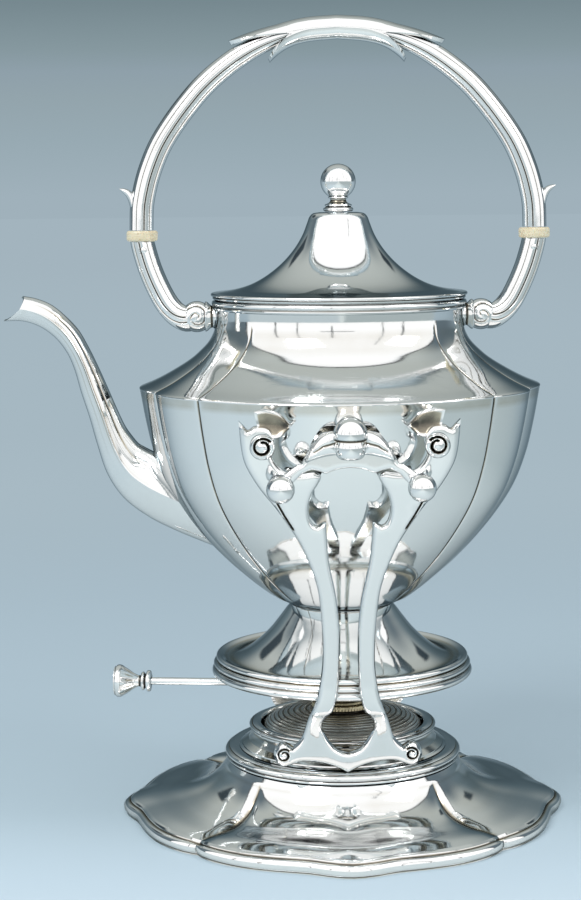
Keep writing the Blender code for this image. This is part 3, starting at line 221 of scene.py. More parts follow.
def carvedPoints(grooves, bosses):
    # rows of points along each groove and rings of them round each boss, to carry their shape
    points = []
    for line, width, _ in grooves:
        line = evenly(line, width * 0.8, False)
        across = crossways(line, np.gradient(line, axis=0))
        for share in (0, -0.6, 0.6, -1.2, 1.2, -2.1, 2.1):
            points += list(line + across * share * width)
    for centre, radius, _ in bosses:
        for share, count in ((0, 1), (0.45, 8), (0.8, 12), (1.0, 14)):
            points += list(np.array(arc(centre, radius * share, fullTurn(count))))
    return np.array(points).reshape(-1, 2)


def platePoints(loop, holeLoops, settings, grooves, bosses):
    # points inside a plate: close together near its edge and its carving, wider apart in the middle
    reach, fill, cell = settings["reach"], settings["fill"], settings["gap"] * 0.42
    inward = crossways(loop, np.roll(loop, -1, axis=0) - np.roll(loop, 1, axis=0))
    candidates = []
    for lean in (18, 34, 52, 70, 90):
        offset = reach * (1 - cos(radians(lean)))
        ring = loop + inward * offset
        away, inside = edgeDistance(ring, loop)
        candidates += list(ring[inside & (away > offset * 0.93)])
    low, high = loop.min(0), loop.max(0)
    grid = np.array([(x, z) for row, z in enumerate(np.arange(low[1], high[1], fill * 0.866))
                     for x in np.arange(low[0] + (row % 2) * fill / 2, high[0], fill)])
    away, inside = edgeDistance(grid, loop)
    candidates += list(grid[inside & (away > reach + fill * 0.5)])
    carved = carvedPoints(grooves, bosses)
    away, inside = edgeDistance(carved, loop)
    carved = list(carved[inside & (away > cell * 0.5)])
    taken, kept = {}, []
    for p in np.vstack([loop] + holeLoops):
        taken.setdefault((int(p[0] // cell), int(p[1] // cell)), []).append(p)
    for p, apart in [(p, cell * 0.42) for p in carved] + [(p, cell) for p in candidates]:
        i, k = int(p[0] // cell), int(p[1] // cell)
        near = [q for a in (i - 1, i, i + 1) for b in (k - 1, k, k + 1) for q in taken.get((a, b), [])]
        if all(np.hypot(*(p - q)) > apart for q in near) and not inAny(p, holeLoops):
            kept.append(p)
            taken.setdefault((i, k), []).append(p)
    return kept


def cushionPlate(bm, outline, holes, settings, place, grooves=(), bosses=()):
    # a plate with a cushioned front: it rises from its edge over a short reach, as cast and filed work does;
    # grooves are (line, width, depth) and bosses are (centre, radius, height)
    wall = settings["wall"]
    loop = evenly(outline, settings["gap"])
    if np.cross(loop, np.roll(loop, -1, axis=0)).sum() < 0:
        loop = loop[::-1]
    holeLoops = [evenly(h, settings["gap"] * 0.6) for h in holes]
    flat, edges = [], []
    for ring in [loop] + holeLoops:
        start, count = len(flat), len(ring)
        flat += list(ring)
        edges += [(start + i, start + (i + 1) % count) for i in range(count)]
    flat += platePoints(loop, holeLoops, settings, grooves, bosses)
    netted = delaunay_2d_cdt([Vector(p) for p in flat], edges, [], 1, 1e-5)
    points = np.array([tuple(p) for p in netted[0]])
    away = edgeDistance(points, loop)[0]
    climb = np.clip(away / settings["reach"], 0, 1)
    heights = wall + settings["rise"] * np.sqrt(1 - (1 - climb) ** 2)
    for line, width, depth in grooves:
        heights -= depth * np.exp(-(lineDistance(points, np.array(line, float)) / width) ** 2)
    for centre, radius, height in bosses:
        out = np.hypot(*(points - np.array(centre)).T) / radius
        heights += height * np.sqrt(np.clip(1 - out ** 2, 0, 1))
    heights[away < same] = wall
    front = [bm.verts.new(place(x, z, h)) for (x, z), h in zip(points, heights)]
    back = [bm.verts.new(place(x, z, 0.0)) for x, z in points]
    # painted shade: the back and the walls are coloured gold-brown, partly as the tarnish that no cloth reaches and
    # partly as the shade that falls there; a thin painted dark line runs along the front edges, standing in for the
    # shade at the edge
    shade = bm.verts.layers.float.get("shade")
    nearest = np.min([away] + [edgeDistance(points, h)[0] for h in holeLoops], axis=0)
    for v, u, d in zip(back, front, nearest):
        v[shade] = settings.get("shade", 0.60) if d < same else 0.26
        # painted shade: a thin dark line along every front edge
        u[shade] = 0.42 * exp(-(d / 0.4) ** 2)
    used = {}
    for a, b, c in netted[2]:
        if not inAny(points[[a, b, c]].mean(0), holeLoops):
            bm.faces.new((front[a], front[b], front[c]))
            bm.faces.new((back[a], back[c], back[b]))
            used.update(dict.fromkeys([(a, b), (b, c), (c, a)]))
    for a, b in [(a, b) for a, b in used if (b, a) not in used]:
        bm.faces.new((front[b], front[a], back[a], back[b]))
    for v in [v for v in front + back if not v.link_faces]:
        bm.verts.remove(v)


def newPlateMesh():
    bm = bmesh.new()
    bm.verts.layers.float.new("shade")
    return bm


def markHollows(mesh):
    # stores how hollow and how raised each point is, for tarnish and for rubbed edges; the painted shade that the
    # plates carry is added to the hollow mark
    most, full = 900, 260   # the strongest bend that counts, and the bend that gives a full mark
    count = len(mesh.vertices)
    co, no = np.empty(count * 3), np.empty(count * 3, np.float32)
    mesh.vertices.foreach_get("co", co)
    mesh.vertex_normals.foreach_get("vector", no)
    ends = np.empty(len(mesh.edges) * 2, np.int32)
    mesh.edges.foreach_get("vertices", ends)
    co, no, (a, b) = co.reshape(-1, 3), no.reshape(-1, 3), ends.reshape(-1, 2).T
    gap = co[b] - co[a]
    length = (gap ** 2).sum(1) + 1e-10
    bend = np.bincount(a, (no[a] * gap).sum(1) * 2 / length, count)
    bend -= np.bincount(b, (no[b] * gap).sum(1) * 2 / length, count)
    links = np.maximum(np.bincount(a, minlength=count) + np.bincount(b, minlength=count), 1)
    bend = np.clip(bend / links, -most, most)
    for _ in range(2):
        near = np.bincount(a, bend[b], count) + np.bincount(b, bend[a], count)
        bend = (bend + near / links) / 2
    shade = np.zeros(count, np.float32)
    if "shade" in mesh.attributes:
        mesh.attributes["shade"].data.foreach_get("value", shade)
    for name, values in (("hollowAndShade", bend / full + shade), ("raised", -bend / full)):
        layer = mesh.attributes.new(name, "FLOAT", "POINT")
        layer.data.foreach_set("value", np.clip(values, 0, 1).astype(np.float32))


def addObject(name, data):
    piece = bpy.data.objects.new(name, data)
    bpy.context.scene.collection.objects.link(piece)
    return piece


def toMesh(bm, name):
    bmesh.ops.remove_doubles(bm, verts=bm.verts[:], dist=weld)
    bmesh.ops.recalc_face_normals(bm, faces=bm.faces[:])
    mesh = bpy.data.meshes.new(name)
    bm.to_mesh(mesh)
    bm.free()
    return mesh


made = []
finishes = {}


def finishPiece(name, node, body, bm, slotName="polished_silver", sharp=32, turned=0.0):
    # puts the piece where its node was, turned round the axis if it should be, with its finish
    mesh = toMesh(bm, name)
    mesh.transform(Matrix.Translation((axisX, 0, 0)) @ Matrix.Rotation(turned, 4, "Z") @ Matrix.Scale(mm, 4))
    mesh.shade_smooth()
    mesh.set_sharp_from_angle(angle=radians(sharp))
    markHollows(mesh)
    mesh.materials.append(finishes[slotName])
    piece = addObject(name, mesh)
    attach(piece, body)
    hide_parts(node)
    made.append(piece)


def turnedPiece(name, node, body, line, count=120, slotName="polished_silver", sharp=32, turned=0.0, **how):
    bm = bmesh.new()
    turn(bm, line, count, **how)
    finishPiece(name, node, body, bm, slotName, sharp, turned)


def cutWith(bm, cutter):
    # takes one closed mesh out of another and gives the result as a new bmesh
    whole, tool = [addObject("cutting", toMesh(part, "cutting")) for part in (bm, cutter)]
    modifier = whole.modifiers.new("cut", "BOOLEAN")
    modifier.operation = "DIFFERENCE"
    modifier.solver = "EXACT"
    modifier.object = tool
    bpy.context.view_layer.update()
    evaluated = whole.evaluated_get(bpy.context.evaluated_depsgraph_get())
    result = bmesh.new()
    result.from_mesh(evaluated.to_mesh())
    evaluated.to_mesh_clear()
    for mesh in (whole.data, tool.data):
        bpy.data.meshes.remove(mesh)   # the objects go with their meshes
    return result


# finishes

def newGroup(name, inputs, outputs):
    group = bpy.data.node_groups.new(name, "ShaderNodeTree")
    for title in outputs:
        group.interface.new_socket(name=title, in_out="OUTPUT", socket_type="NodeSocketFloat")
    for title, value in inputs.items():
        socket = group.interface.new_socket(name=title, in_out="INPUT", socket_type="NodeSocketFloat")
        socket.default_value = value
    return group, group.nodes.new("NodeGroupInput").outputs, group.nodes.new("NodeGroupOutput")


def feed(tree, node, inputs):
    # each input gets a value or another node's output
    for key, value in inputs.items():
        if isinstance(value, bpy.types.NodeSocket):
            tree.links.new(value, node.inputs[key])
        else:
            node.inputs[key].default_value = value


def addNode(tree, kind, inputs=None, **settings):
    node = tree.nodes.new("ShaderNode" + kind)
    for key, value in settings.items():
        setattr(node, key, value)
    feed(tree, node, inputs or {})
    return node


def calculate(tree, operation, *values, clamp=False):
    return addNode(tree, "Math", dict(enumerate(values)), operation=operation, use_clamp=clamp).outputs[0]


def blendColour(tree, mask, under, over):
    under, over = [(*c, 1) if isinstance(c, tuple) else c for c in (under, over)]
    return addNode(tree, "Mix", {0: mask, 6: under, 7: over}, data_type="RGBA").outputs[2]


def noise(tree, place, scale, detail, roughness=0.5):
    return addNode(tree, "TexNoise", {"Vector": place, "Scale": scale, "Detail": detail,
                                      "Roughness": roughness}).outputs["Fac"]


def stretched(tree, place, scale, turned=(0.0, 0.0, 0.0)):
    return addNode(tree, "Mapping", {"Vector": place, "Scale": scale, "Rotation": turned}).outputs["Vector"]


def bump(tree, height, strength, depth):
    return addNode(tree, "Bump", {"Height": height, "Strength": strength, "Distance": depth}).outputs["Normal"]


def placeOf(tree):
    return addNode(tree, "TexCoord").outputs["Object"]


def makeTarnishAndShadeGroup():
    # where handling and polishing cloths don't reach, the metal darkens with tarnish; the mask also carries the
    # painted shade kept in the hollow mark
    group, given, end = newGroup("hollowTarnishAndShade", {"Amount": 1.0, "Patch Size": 60.0, "Cloud": 0.1},
                                 ("Mask", "Rubbed"))
    place = placeOf(group)
    hollowAndShade, raised = [addNode(group, "Attribute", attribute_name=name).outputs["Fac"]
                      for name in ("hollowAndShade", "raised")]
    uneven = calculate(group, "MULTIPLY_ADD", noise(group, place, given["Patch Size"], 4.0, 0.6), 1.5, 0.5)
    deep = calculate(group, "MULTIPLY", calculate(group, "MULTIPLY", hollowAndShade, uneven), given["Amount"])
    haze = calculate(group, "SUBTRACT", noise(group, place, 17.0, 5.0, 0.62), 0.48, clamp=True)
    cloudy = calculate(group, "MULTIPLY", haze, given["Cloud"])
    feed(group, end, {"Mask": calculate(group, "ADD", deep, cloudy, clamp=True),
                      "Rubbed": calculate(group, "MULTIPLY", raised, uneven, clamp=True)})
    return group


def makePolishGroup():
    # hairline scratches, smears and the slight waviness of hand-raised sheet
    group, given, end = newGroup("polishMarks", {"Roughness": 0.08, "Spread": 0.05, "Scratch": 0.3, "Wave": 0.3},
                                 ("Roughness", "Height"))
    place = placeOf(group)
    lines = []
    for turned, scale in (((0.3, 0.5, 0.2), (2600, 90, 300)), ((1.2, 0.1, 0.9), (80, 2300, 260))):
        line = noise(group, stretched(group, place, scale, turned), 1.0, 1.0)
        lines.append(calculate(group, "POWER", line, 5.0))
    scratch = calculate(group, "MULTIPLY", calculate(group, "ADD", *lines), given["Scratch"])
    wave = calculate(group, "MULTIPLY", noise(group, place, 42.0, 1.0), given["Wave"])
    smear = noise(group, place, 34.0, 5.0, 0.65)
    feed(group, end, {"Roughness": calculate(group, "MULTIPLY_ADD", smear, given["Spread"], given["Roughness"]),
                      "Height": calculate(group, "ADD", scratch, wave)})
    return group


tarnishAndShadeGroup = makeTarnishAndShadeGroup()
polishGroup = makePolishGroup()


def newMaterial(name):
    material = bpy.data.materials.new(name)
    material.use_nodes = True
    tree = material.node_tree
    return material, tree, tree.nodes["Principled BSDF"]


def makeMetal(name, s):
    material, tree, shader = newMaterial(name)
    tarnishAndShade = addNode(tree, "Group", node_tree=tarnishAndShadeGroup)
    polish = addNode(tree, "Group", node_tree=polishGroup)
    feed(tree, tarnishAndShade, s["tarnishAndShade"])
    feed(tree, polish, s["polish"])
    mask = tarnishAndShade.outputs["Mask"]
    # tarnish and painted shade go from straw through gold-brown to black
    straw = blendColour(tree, calculate(tree, "MULTIPLY", mask, 2.0, clamp=True), s["clean"], s["straw"])
    black = calculate(tree, "SUBTRACT", calculate(tree, "MULTIPLY", mask, 1.8), 0.8, clamp=True)
    colour = blendColour(tree, tarnishAndShade.outputs["Rubbed"], blendColour(tree, black, straw, s["dark"]), s["bright"])
    feed(tree, shader, {
        "Metallic": 1.0, "Specular Tint": (*s["edge"], 1), "Base Color": colour,
        "Roughness": calculate(tree, "MULTIPLY_ADD", mask, s["dulling"], polish.outputs["Roughness"]),
        "Normal": bump(tree, polish.outputs["Height"], s["relief"], 0.4 * mm)})
    return material


finishes["polished_silver"] = makeMetal("polishedSilver", {
    "clean": (0.925, 0.935, 0.93), "straw": (0.55, 0.49, 0.38), "dark": (0.09, 0.085, 0.075),
    "bright": (0.97, 0.97, 0.965), "edge": (0.32, 0.36, 0.38), "dulling": 0.25, "relief": 0.12,
    "tarnishAndShade": {"Amount": 0.9, "Patch Size": 75.0, "Cloud": 0.12},
    "polish": {"Roughness": 0.035, "Spread": 0.05, "Scratch": 0.25, "Wave": 0.5}})
# a darker copy of the polished silver: painted shade for the pieces that sit in shadow, the lid's bezel, the lamp's
# font and the hinge pin
finishes["shaded_silver"] = makeMetal("shadedSilver", {
    "clean": (0.56, 0.54, 0.49), "straw": (0.30, 0.26, 0.19), "dark": (0.07, 0.06, 0.05),
    "bright": (0.85, 0.84, 0.80), "edge": (0.5, 0.5, 0.5), "dulling": 0.3, "relief": 0.2,
    "tarnishAndShade": {"Amount": 1.0, "Patch Size": 90.0, "Cloud": 0.7},
    "polish": {"Roughness": 0.15, "Spread": 0.14, "Scratch": 0.6, "Wave": 0.5}})
finishes["brass"] = makeMetal("burnerBrass", {
    "clean": (0.44, 0.37, 0.24), "straw": (0.24, 0.19, 0.11), "dark": (0.06, 0.05, 0.035),
    "bright": (0.66, 0.57, 0.38), "edge": (0.5, 0.5, 0.5), "dulling": 0.3, "relief": 0.2,
    "tarnishAndShade": {"Amount": 1.0, "Patch Size": 160.0, "Cloud": 0.9},
    "polish": {"Roughness": 0.20, "Spread": 0.16, "Scratch": 0.5, "Wave": 0.4}})


def makeIvory():
    # cream with a fine lengthwise grain, a little brown in the pores
    look = {"pale": (0.80, 0.72, 0.52), "deep": (0.50, 0.38, 0.20), "roughness": 0.36, "grain": 260.0}
    material, tree, shader = newMaterial("ivoryRings")
    place = placeOf(tree)
    grain = noise(tree, stretched(tree, place, (1.0, 1.0, 5.0)), look["grain"], 5.0)

    def over(value, least, gain):
        return calculate(tree, "MULTIPLY", calculate(tree, "SUBTRACT", value, least, clamp=True), gain, clamp=True)

    shade = calculate(tree, "MULTIPLY_ADD", over(grain, 0.40, 2.2), 0.6,
                      over(noise(tree, place, 900.0, 2.0), 0.56, 3.5), clamp=True)
    feed(tree, shader, {
        "Base Color": blendColour(tree, shade, look["pale"], look["deep"]),
        "Roughness": calculate(tree, "MULTIPLY_ADD", shade, 0.25, look["roughness"]),
        "Normal": bump(tree, grain, 0.25, 0.3 * mm), "Subsurface Weight": 0.15,
        "Subsurface Radius": (0.004, 0.0025, 0.0015), "Subsurface Scale": 0.3})
    return material


def makeCotton():
    # a flat woven wick, scorched brown and black at its lit end
    look = {"clean": (0.78, 0.74, 0.64), "shaded": (0.55, 0.50, 0.42), "scorched": (0.03, 0.022, 0.018),
            "lit": 0.0602, "burnt": 0.0045}
    material, tree, shader = newMaterial("cottonWick")
    place = placeOf(tree)
    threads = [addNode(tree, "TexWave", {"Vector": place, "Scale": scale, "Distortion": 0.6, "Detail": 1.0},
                       bands_direction=way).outputs["Fac"] for way, scale in (("X", 420.0), ("Z", 360.0))]
    weave = calculate(tree, "MULTIPLY", *threads)
    up = calculate(tree, "SUBTRACT", addNode(tree, "SeparateXYZ", {"Vector": place}).outputs["Z"],
                   look["lit"] - look["burnt"])
    burnt = calculate(tree, "DIVIDE", up, look["burnt"], clamp=True)
    cloth = blendColour(tree, weave, look["shaded"], look["clean"])
    feed(tree, shader, {"Base Color": blendColour(tree, burnt, cloth, look["scorched"]), "Roughness": 0.95,
                        "Normal": bump(tree, weave, 0.7, 0.4 * mm)})
    return material


finishes["ivory"] = makeIvory()
finishes["cotton"] = makeCotton()
print("finishes made")


# stand

baseLook = {
    "inner": 44.6, "reach": 101.2, "height": 25.5, "wall": 1.4, "collar": 54.1, "brimFace": 5.2,
    "valley": 2.6, "lobePower": 0.7, "stepsPerLobe": 56, "collarBase": 25.8,
    "outline": ((0.0, 1.0), (0.05, 0.996), (0.12, 0.983), (0.24, 0.955), (0.36, 0.951), (0.50, 0.956),
                (0.66, 0.961), (0.84, 0.955), (0.94, 0.944), (1.0, 0.930)),
    "slope": ((0.14, 0.98), (0.19, 0.835), (0.254, 0.682), (0.344, 0.541), (0.453, 0.447),
              (0.60, 0.383), (0.80, 0.330), (0.925, 0.275)),
}
galleryLook = {
    # its heights are counted from its base
    "base": 31.1, "mouth": 37.2, "floor": -5.8, "wall": 1.1, "waistRadius": 40.9, "flare": 6.6, "waistHeight": 10.7,
    "waist": ((1.0, 0.0), (0.56, 0.14), (0.24, 0.35), (0.05, 0.56), (0.0, 0.66)),
}
lobeAt, lobeOut = zip(*smoothLine(baseLook["outline"], 10))


def dishShape(radius, height, angle):
    # draws the brim in between the lobes, and sinks a valley there
    s = baseLook
    out = (radius - s["collar"]) / (s["reach"] - s["collar"])
    if out <= 0:
        return radius, height
    share = abs((angle + pi / 4) % (pi / 2) - pi / 4) / (pi / 4)
    loss = 1 - np.interp(share, lobeAt, lobeOut)
    sink = 0.0
    if height >= s["brimFace"]:
        sink = s["valley"] * (0.42 * share ** 2.2 + 0.75 * share ** 11) * sin(pi * min(out, 1.0) ** 0.8)
        sink += 0.5 * max(share - 0.93, 0) / 0.07 * min(out * 4, 1)
    return radius - s["reach"] * loss * out ** s["lobePower"], height - sink


def lobeAngles(steps):
    # closer together near the valleys between the lobes
    shares = [2 * i / steps for i in range(-steps // 2, steps // 2)]
    return [pi / 2 * quarter + pi / 4 * copysign(1 - (1 - abs(t)) ** 1.35, t)
            for quarter in range(4) for t in shares]


def makeBase():
    s = baseLook
    inner, brim, top = s["inner"], s["reach"], s["height"]
    slope = smoothLine(scaledLine(s["slope"], brim - inner, top, inner), 7)
    under = [(p[0], p[1] - s["wall"]) for p in slope[::-4]]
    line = chain((inner, top), slope, (brim - 3.2, 6.2), (brim - 3.0, 5.6), reed(brim, 0.6, 5.4, 1.9, 8)[::-1],
                 (brim - 1.2, 0.0), (brim - 3.4, 0.0), (brim - 3.4, 4.0), under[1:], (inner, top - s["wall"]))
    turnedPiece("footDish", "base_dish", "stand", line, sharp=28, reshape=dishShape,
                angles=lobeAngles(s["stepsPerLobe"]))
    line = chain((inner, 0.0), (52.4, 0.0), reed(53.6, 0.1, 1.2, 0.6, 5), (52.8, 1.3),
                 reed(54.1, 1.4, 4.1, 1.3, 8), (52.4, 4.3), reed(52.1, 4.4, 5.0, 0.3, 3), (50.0, 5.0),
                 (inner, 5.0), low=s["collarBase"])
    turnedPiece("footCollar", "base_collar", "stand", line, 144)

    s = galleryLook
    mouth, floor, wall = s["mouth"], s["floor"], s["wall"]
    waist = smoothLine(scaledLine(s["waist"], s["flare"], s["waistHeight"], s["waistRadius"]), 6)
    rim = [(41.2, 10.3), (39.8, 10.7), (38.0, 10.6), (mouth, 10.0), (mouth, floor + 0.8)]
    line = chain(waist, reed(42.4, 7.2, 8.4, 0.7, 5), (41.8, 8.5), reed(42.9, 8.6, 9.8, 0.7, 5), (41.4, 9.9),
                 softCorners(rim, 0.5),
                 softCorners([(mouth, floor + 1.2), (mouth, floor), (mouth - 1.2, floor)], 0.8),
                 (0.0, floor), (0.0, floor - wall), (mouth + wall, floor - wall), (mouth + wall, 5.7),
                 (46.2, 1.1), (46.4, 0.0), low=s["base"])
    turnedPiece("lampGallery", "lamp_gallery", "stand", line, 144)


makeBase()
print("foot made")

bracketLook = {
    "base": 31.4, "height": 159.0, "reach": 45.9, "pinOffset": 29.0, "pinHeight": 163.4, "pinHole": 2.4,
    "plate": {"reach": 2.5, "rise": 2.1, "wall": 3.5, "gap": 1.1, "fill": 2.2},
    "footDistance": 49.5, "rimDistance": 62.1, "headDistance": 86.5,
    "footLean": ((0.0, 0.0), (0.10, 0.24), (0.165, 0.60), (0.203, 0.94), (0.26, 1.0)),
    "headLean": ((0.26, 0.0), (0.354, 0.15), (0.486, 0.38), (0.606, 0.61), (0.713, 0.80), (0.845, 1.0),
                 (1.0, 1.13)),
    # half the outline in thousandths of the reach and the height, parted at its sharp corners:
    # up the outside from the middle of the foot, round the head and down the inside
    "half": (((0, 0), (100, 16), (192, 26), (325, 34), (455, 35), (560, 24)),
             ((560, 24), (620, 21), (672, 32), (704, 55), (676, 78), (610, 89), (545, 80), (522, 74)),
             ((522, 74), (470, 88), (430, 106), (381, 153), (296, 225), (248, 309), (242, 371), (255, 450),
              (290, 537), (357, 601), (462, 672), (649, 757), (808, 817), (895, 857), (950, 890), (980, 929),
              (1000, 1000)),
             ((1000, 1000), (950, 985), (915, 975), (870, 984), (822, 986), (743, 983), (688, 966), (673, 945),
              (686, 926), (710, 911)),
             ((710, 911), (680, 892), (623, 872), (562, 862), (440, 858), (314, 863)),
             ((314, 863), (259, 852), (290, 830), (340, 806), (371, 775), (373, 757), (357, 733), (325, 718),
              (290, 714)),
             ((290, 714), (250, 722), (214, 727)),
             ((214, 727), (208, 692), (186, 616), (120, 516), (88, 420), (85, 356), (92, 294), (107, 233),
              (150, 188), (200, 168), (222, 159)),
             ((222, 159), (243, 150), (246, 139), (238, 124), (220, 112), (150, 80), (75, 64), (0, 58))),
    "scrollEye": (27.8, 40.1), "shoulderLine": ((30.2, 155.6), (27.2, 150.0), (23.6, 144.0)),
    "lineWidth": 0.42, "voluteEye": (36.2, 179.7), "voluteRadius": 5.3,
    "volute": {"reach": 1.6, "rise": 1.3, "wall": 3.0, "gap": 0.8, "fill": 0.9},
    "leafTop": ((39.6, 194.2), (34.5, 194.9), (29.2, 193.2), (24.8, 188.8)),
    "leafFoot": ((37.2, 183.8), (32.8, 183.2), (29.0, 183.8), (25.0, 187.2)),
    "leafDistance": 93.0, "leafBowl": 2.1, "leafWall": 0.8, "leafSteps": 14,
}
pinLook = {"seat": 96.9, "root": -12.5, "radius": 2.0, "ball": 5.85}
footLean, headLean = [list(zip(*smoothLine(bracketLook[lean]))) for lean in ("footLean", "headLean")]


def bracketDistance(height):
    # how far the bracket's inner face stands from the kettle's axis
    s = bracketLook
    share = (height - s["base"]) / s["height"]
    if share <= s["footLean"][-1][0]:
        return s["footDistance"] + np.interp(max(share, 0), *footLean) * (s["rimDistance"] - s["footDistance"])
    return s["rimDistance"] + np.interp(share, *headLean) * (s["headDistance"] - s["rimDistance"])


def spiral(centre, outer, inner, turns, start, spin, points):
    path = []
    for t in [i / (points - 1) for i in range(points)]:
        path += arc(centre, outer + (inner - outer) * t, [start + spin * turns * 2 * pi * t])
    return path


def curledLeaf(bm, mirror, side):
    # curls over towards the kettle behind the volute, with painted shade inside its bowl
    s = bracketLook
    steps = s["leafSteps"]
    shade = bm.verts.layers.float["shade"]
    top, foot = smoothLine(s["leafTop"], 8), smoothLine(s["leafFoot"], 8)
    loops = []
    for i, (high, low) in enumerate(zip(top, foot)):
        along = i / (len(top) - 1)
        loop = []
        for layer, k in [(0, k) for k in range(steps + 1)] + [(1, k) for k in range(steps, -1, -1)]:
            across = k / steps
            bowl = sin(pi * across) ** 0.7 * sin(pi * (0.15 + 0.80 * along)) ** 0.6
            p = high * (1 - across) + low * across
            # kept behind the crossbar's plane, so that the kettle can tip past it
            deep = s["leafDistance"] - s["leafBowl"] * bowl - layer * (s["leafWall"] - 0.3 * bowl)
            v = bm.verts.new((mirror * p.x, side * deep, p.y + 0.4 * layer * (1 - 2 * across)))
            # painted shade, deepest in the middle of the leaf's bowl, drawn in the tarnish colours
            v[shade] = 0.40 * bowl * (1 - layer)
            loop.append(v)
        loops.append(loop)
    joinRings(bm, loops, False)
    for loop in (loops[0], loops[-1]):
        for k in range(steps):
            bm.faces.new((loop[k], loop[k + 1], loop[-2 - k], loop[-1 - k]))


def makeBracket(name, node, side):
    s = bracketLook

    def place(x, z, depth):
        return (x, side * (bracketDistance(z) + depth), z)

    half = chain(*[smoothLine(scaledLine(stretch, s["reach"] / 1000, s["height"] / 1000, 0, s["base"]), 5)
                   for stretch in s["half"]])
    pinHole = arc((s["pinOffset"], s["pinHeight"]), s["pinHole"], fullTurn(24))
    grooves, bosses = [], []
    for mirror in (1, -1):
        # the scroll at each side of the foot, wound inward to its eye, and a line inside each shoulder
        eye = (s["scrollEye"][0] * mirror, s["scrollEye"][1])
        grooves.append((spiral(eye, 3.1, 1.4, 1.2, pi / 2 + mirror * 0.75, -mirror, 36), s["lineWidth"], 1.9))
        grooves.append(([(x * mirror, z) for x, z in s["shoulderLine"]], s["lineWidth"], 1.4))
        bosses.append((eye, 1.2, 0.9))
    bm = newPlateMesh()
    cushionPlate(bm, half + [Vector((-p.x, p.y)) for p in half[-2:0:-1]], [pinHole, mirrored(pinHole)],
                 s["plate"], place, grooves, bosses)
    behind = s["plate"]["wall"] + s["plate"]["rise"] - 1.6
    for mirror in (1, -1):
        # the rolled volute at the head of each arm: a disc with a deep wound groove and a boss
        eye = (s["voluteEye"][0] * mirror, s["voluteEye"][1])
        wound = spiral(eye, 4.0, 2.2, 1.15, pi / 2 + mirror * 0.9, -mirror, 40)
        cushionPlate(bm, arc(eye, s["voluteRadius"], fullTurn(40)), [], s["volute"],
                     lambda x, z, d: place(x, z, behind + d), [(wound, 0.52, 2.2)], [(eye, 2.1, 0.9)])
        curledLeaf(bm, mirror, side)
    finishPiece(name, node, "stand", bm, sharp=50)


makeBracket("frontFork", "front_bracket", -1)
makeBracket("backFork", "back_bracket", 1)
s = pinLook
r = s["radius"]
pinLine = chain((0.0, s["root"]), (r - 0.4, s["root"]), (r, s["root"] + 0.4),
                softCorners([(r, 0.0), (3.4, 0.0), (3.4, 1.4), (2.4, 1.4)], 0.4),
                arc((0.0, 1.4 + s["ball"] * 0.90), s["ball"], np.radians(np.linspace(-64, 90, 22))),
                low=s["seat"])
for side, sideName in ((-1, "front"), (1, "back")):
    for hand, handName in ((-1, "left"), (1, "right")):
        turnedPiece(sideName + handName.title() + "Pin", f"{sideName}_{handName}_pin",
                    f"pin_{sideName}_{handName}", [(r, side * h) for r, h in pinLine], 40, axis="Y",
                    centre=(hand * bracketLook["pinOffset"], 0, bracketLook["pinHeight"]))
print("forks and pins made")


# kettle

kettleLook = {
    # radius and height, from the foot's joint up to the shoulder's edge
    "belly": ((22.5, 96.4), (27.0, 98.3), (32.0, 100.6), (39.0, 105.6), (45.5, 111.0), (52.2, 117.0),
              (62.3, 127.5), (71.9, 139.5), (79.6, 151.9), (85.0, 165.9), (88.6, 180.9), (91.3, 195.9)),
    "rim": ((91.48, 196.15), (91.5, 196.4), (91.38, 196.65)),
    "shoulder": ((91.0, 196.9), (84.5, 199.6), (77.2, 203.4), (68.3, 208.9), (63.8, 212.7), (59.6, 217.2),
                 (57.2, 222.0), (56.5, 227.0), (56.4, 231.4)),
    "wall": 1.2, "neckTop": 236.0, "bellyBase": 96.4, "bellyHeight": 100.0, "shoulderHeight": 22.5,
    # where each crease runs, in degrees, and how deep it is
    "creases": ((-20, 3.3), (20, 3.3), (45, 1.5), (135, 1.5), (160, 3.3), (200, 3.3), (225, 1.5),
                (315, 1.5), (340, 3.3)),
    "fade": ((0.0, 0.25), (0.15, 0.60), (0.40, 1.0), (1.0, 1.0)), "groove": 0.34, "grooveWidth": 0.55,
    "strainer": {"centre": (0.0, 146.5), "spread": 6.4, "radius": 2.1, "from": -91.0, "to": -45.0},
    "neckBase": 231.6, "footBase": 64.2,
    "flare": ((55.2, 8.8), (52.8, 7.9), (50.0, 7.7), (45.0, 9.7), (39.4, 13.6), (33.4, 19.3), (28.4, 25.5),
              (25.0, 30.0), (23.6, 31.5), (23.0, 31.9)),
}


def kettleShape(radius, height, angle):
    # lobes swell between the creases, and a fine chased line runs down each crease
    s = kettleLook
    share = (height - s["bellyBase"]) / s["bellyHeight"]
    above = (height - s["bellyBase"] - s["bellyHeight"]) / s["shoulderHeight"]
    if above <= 0:
        fade, line = np.interp(share, *zip(*s["fade"])), 1.0
    else:
        fade = max(1 - above, 0) ** 1.3
        line = max(1 - 0.75 * above, 0.25) if above < 1.3 else 0.0
    line *= min(max(share * 6, 0.3), 1)
    at = degrees(angle) % 360
    at -= 360 if at > 340 else 0
    for (a, deepA), (b, deepB) in zip(s["creases"], s["creases"][1:]):
        if a <= at <= b:
            across = (at - a) / (b - a)
            sink = (deepA + (deepB - deepA) * across) * abs(2 * across - 1) ** 2.2 * fade
            away = radians(min(at - a, b - at)) * radius
            return radius - sink - s["groove"] * line * exp(-(away / s["grooveWidth"]) ** 2), height
    return radius, height


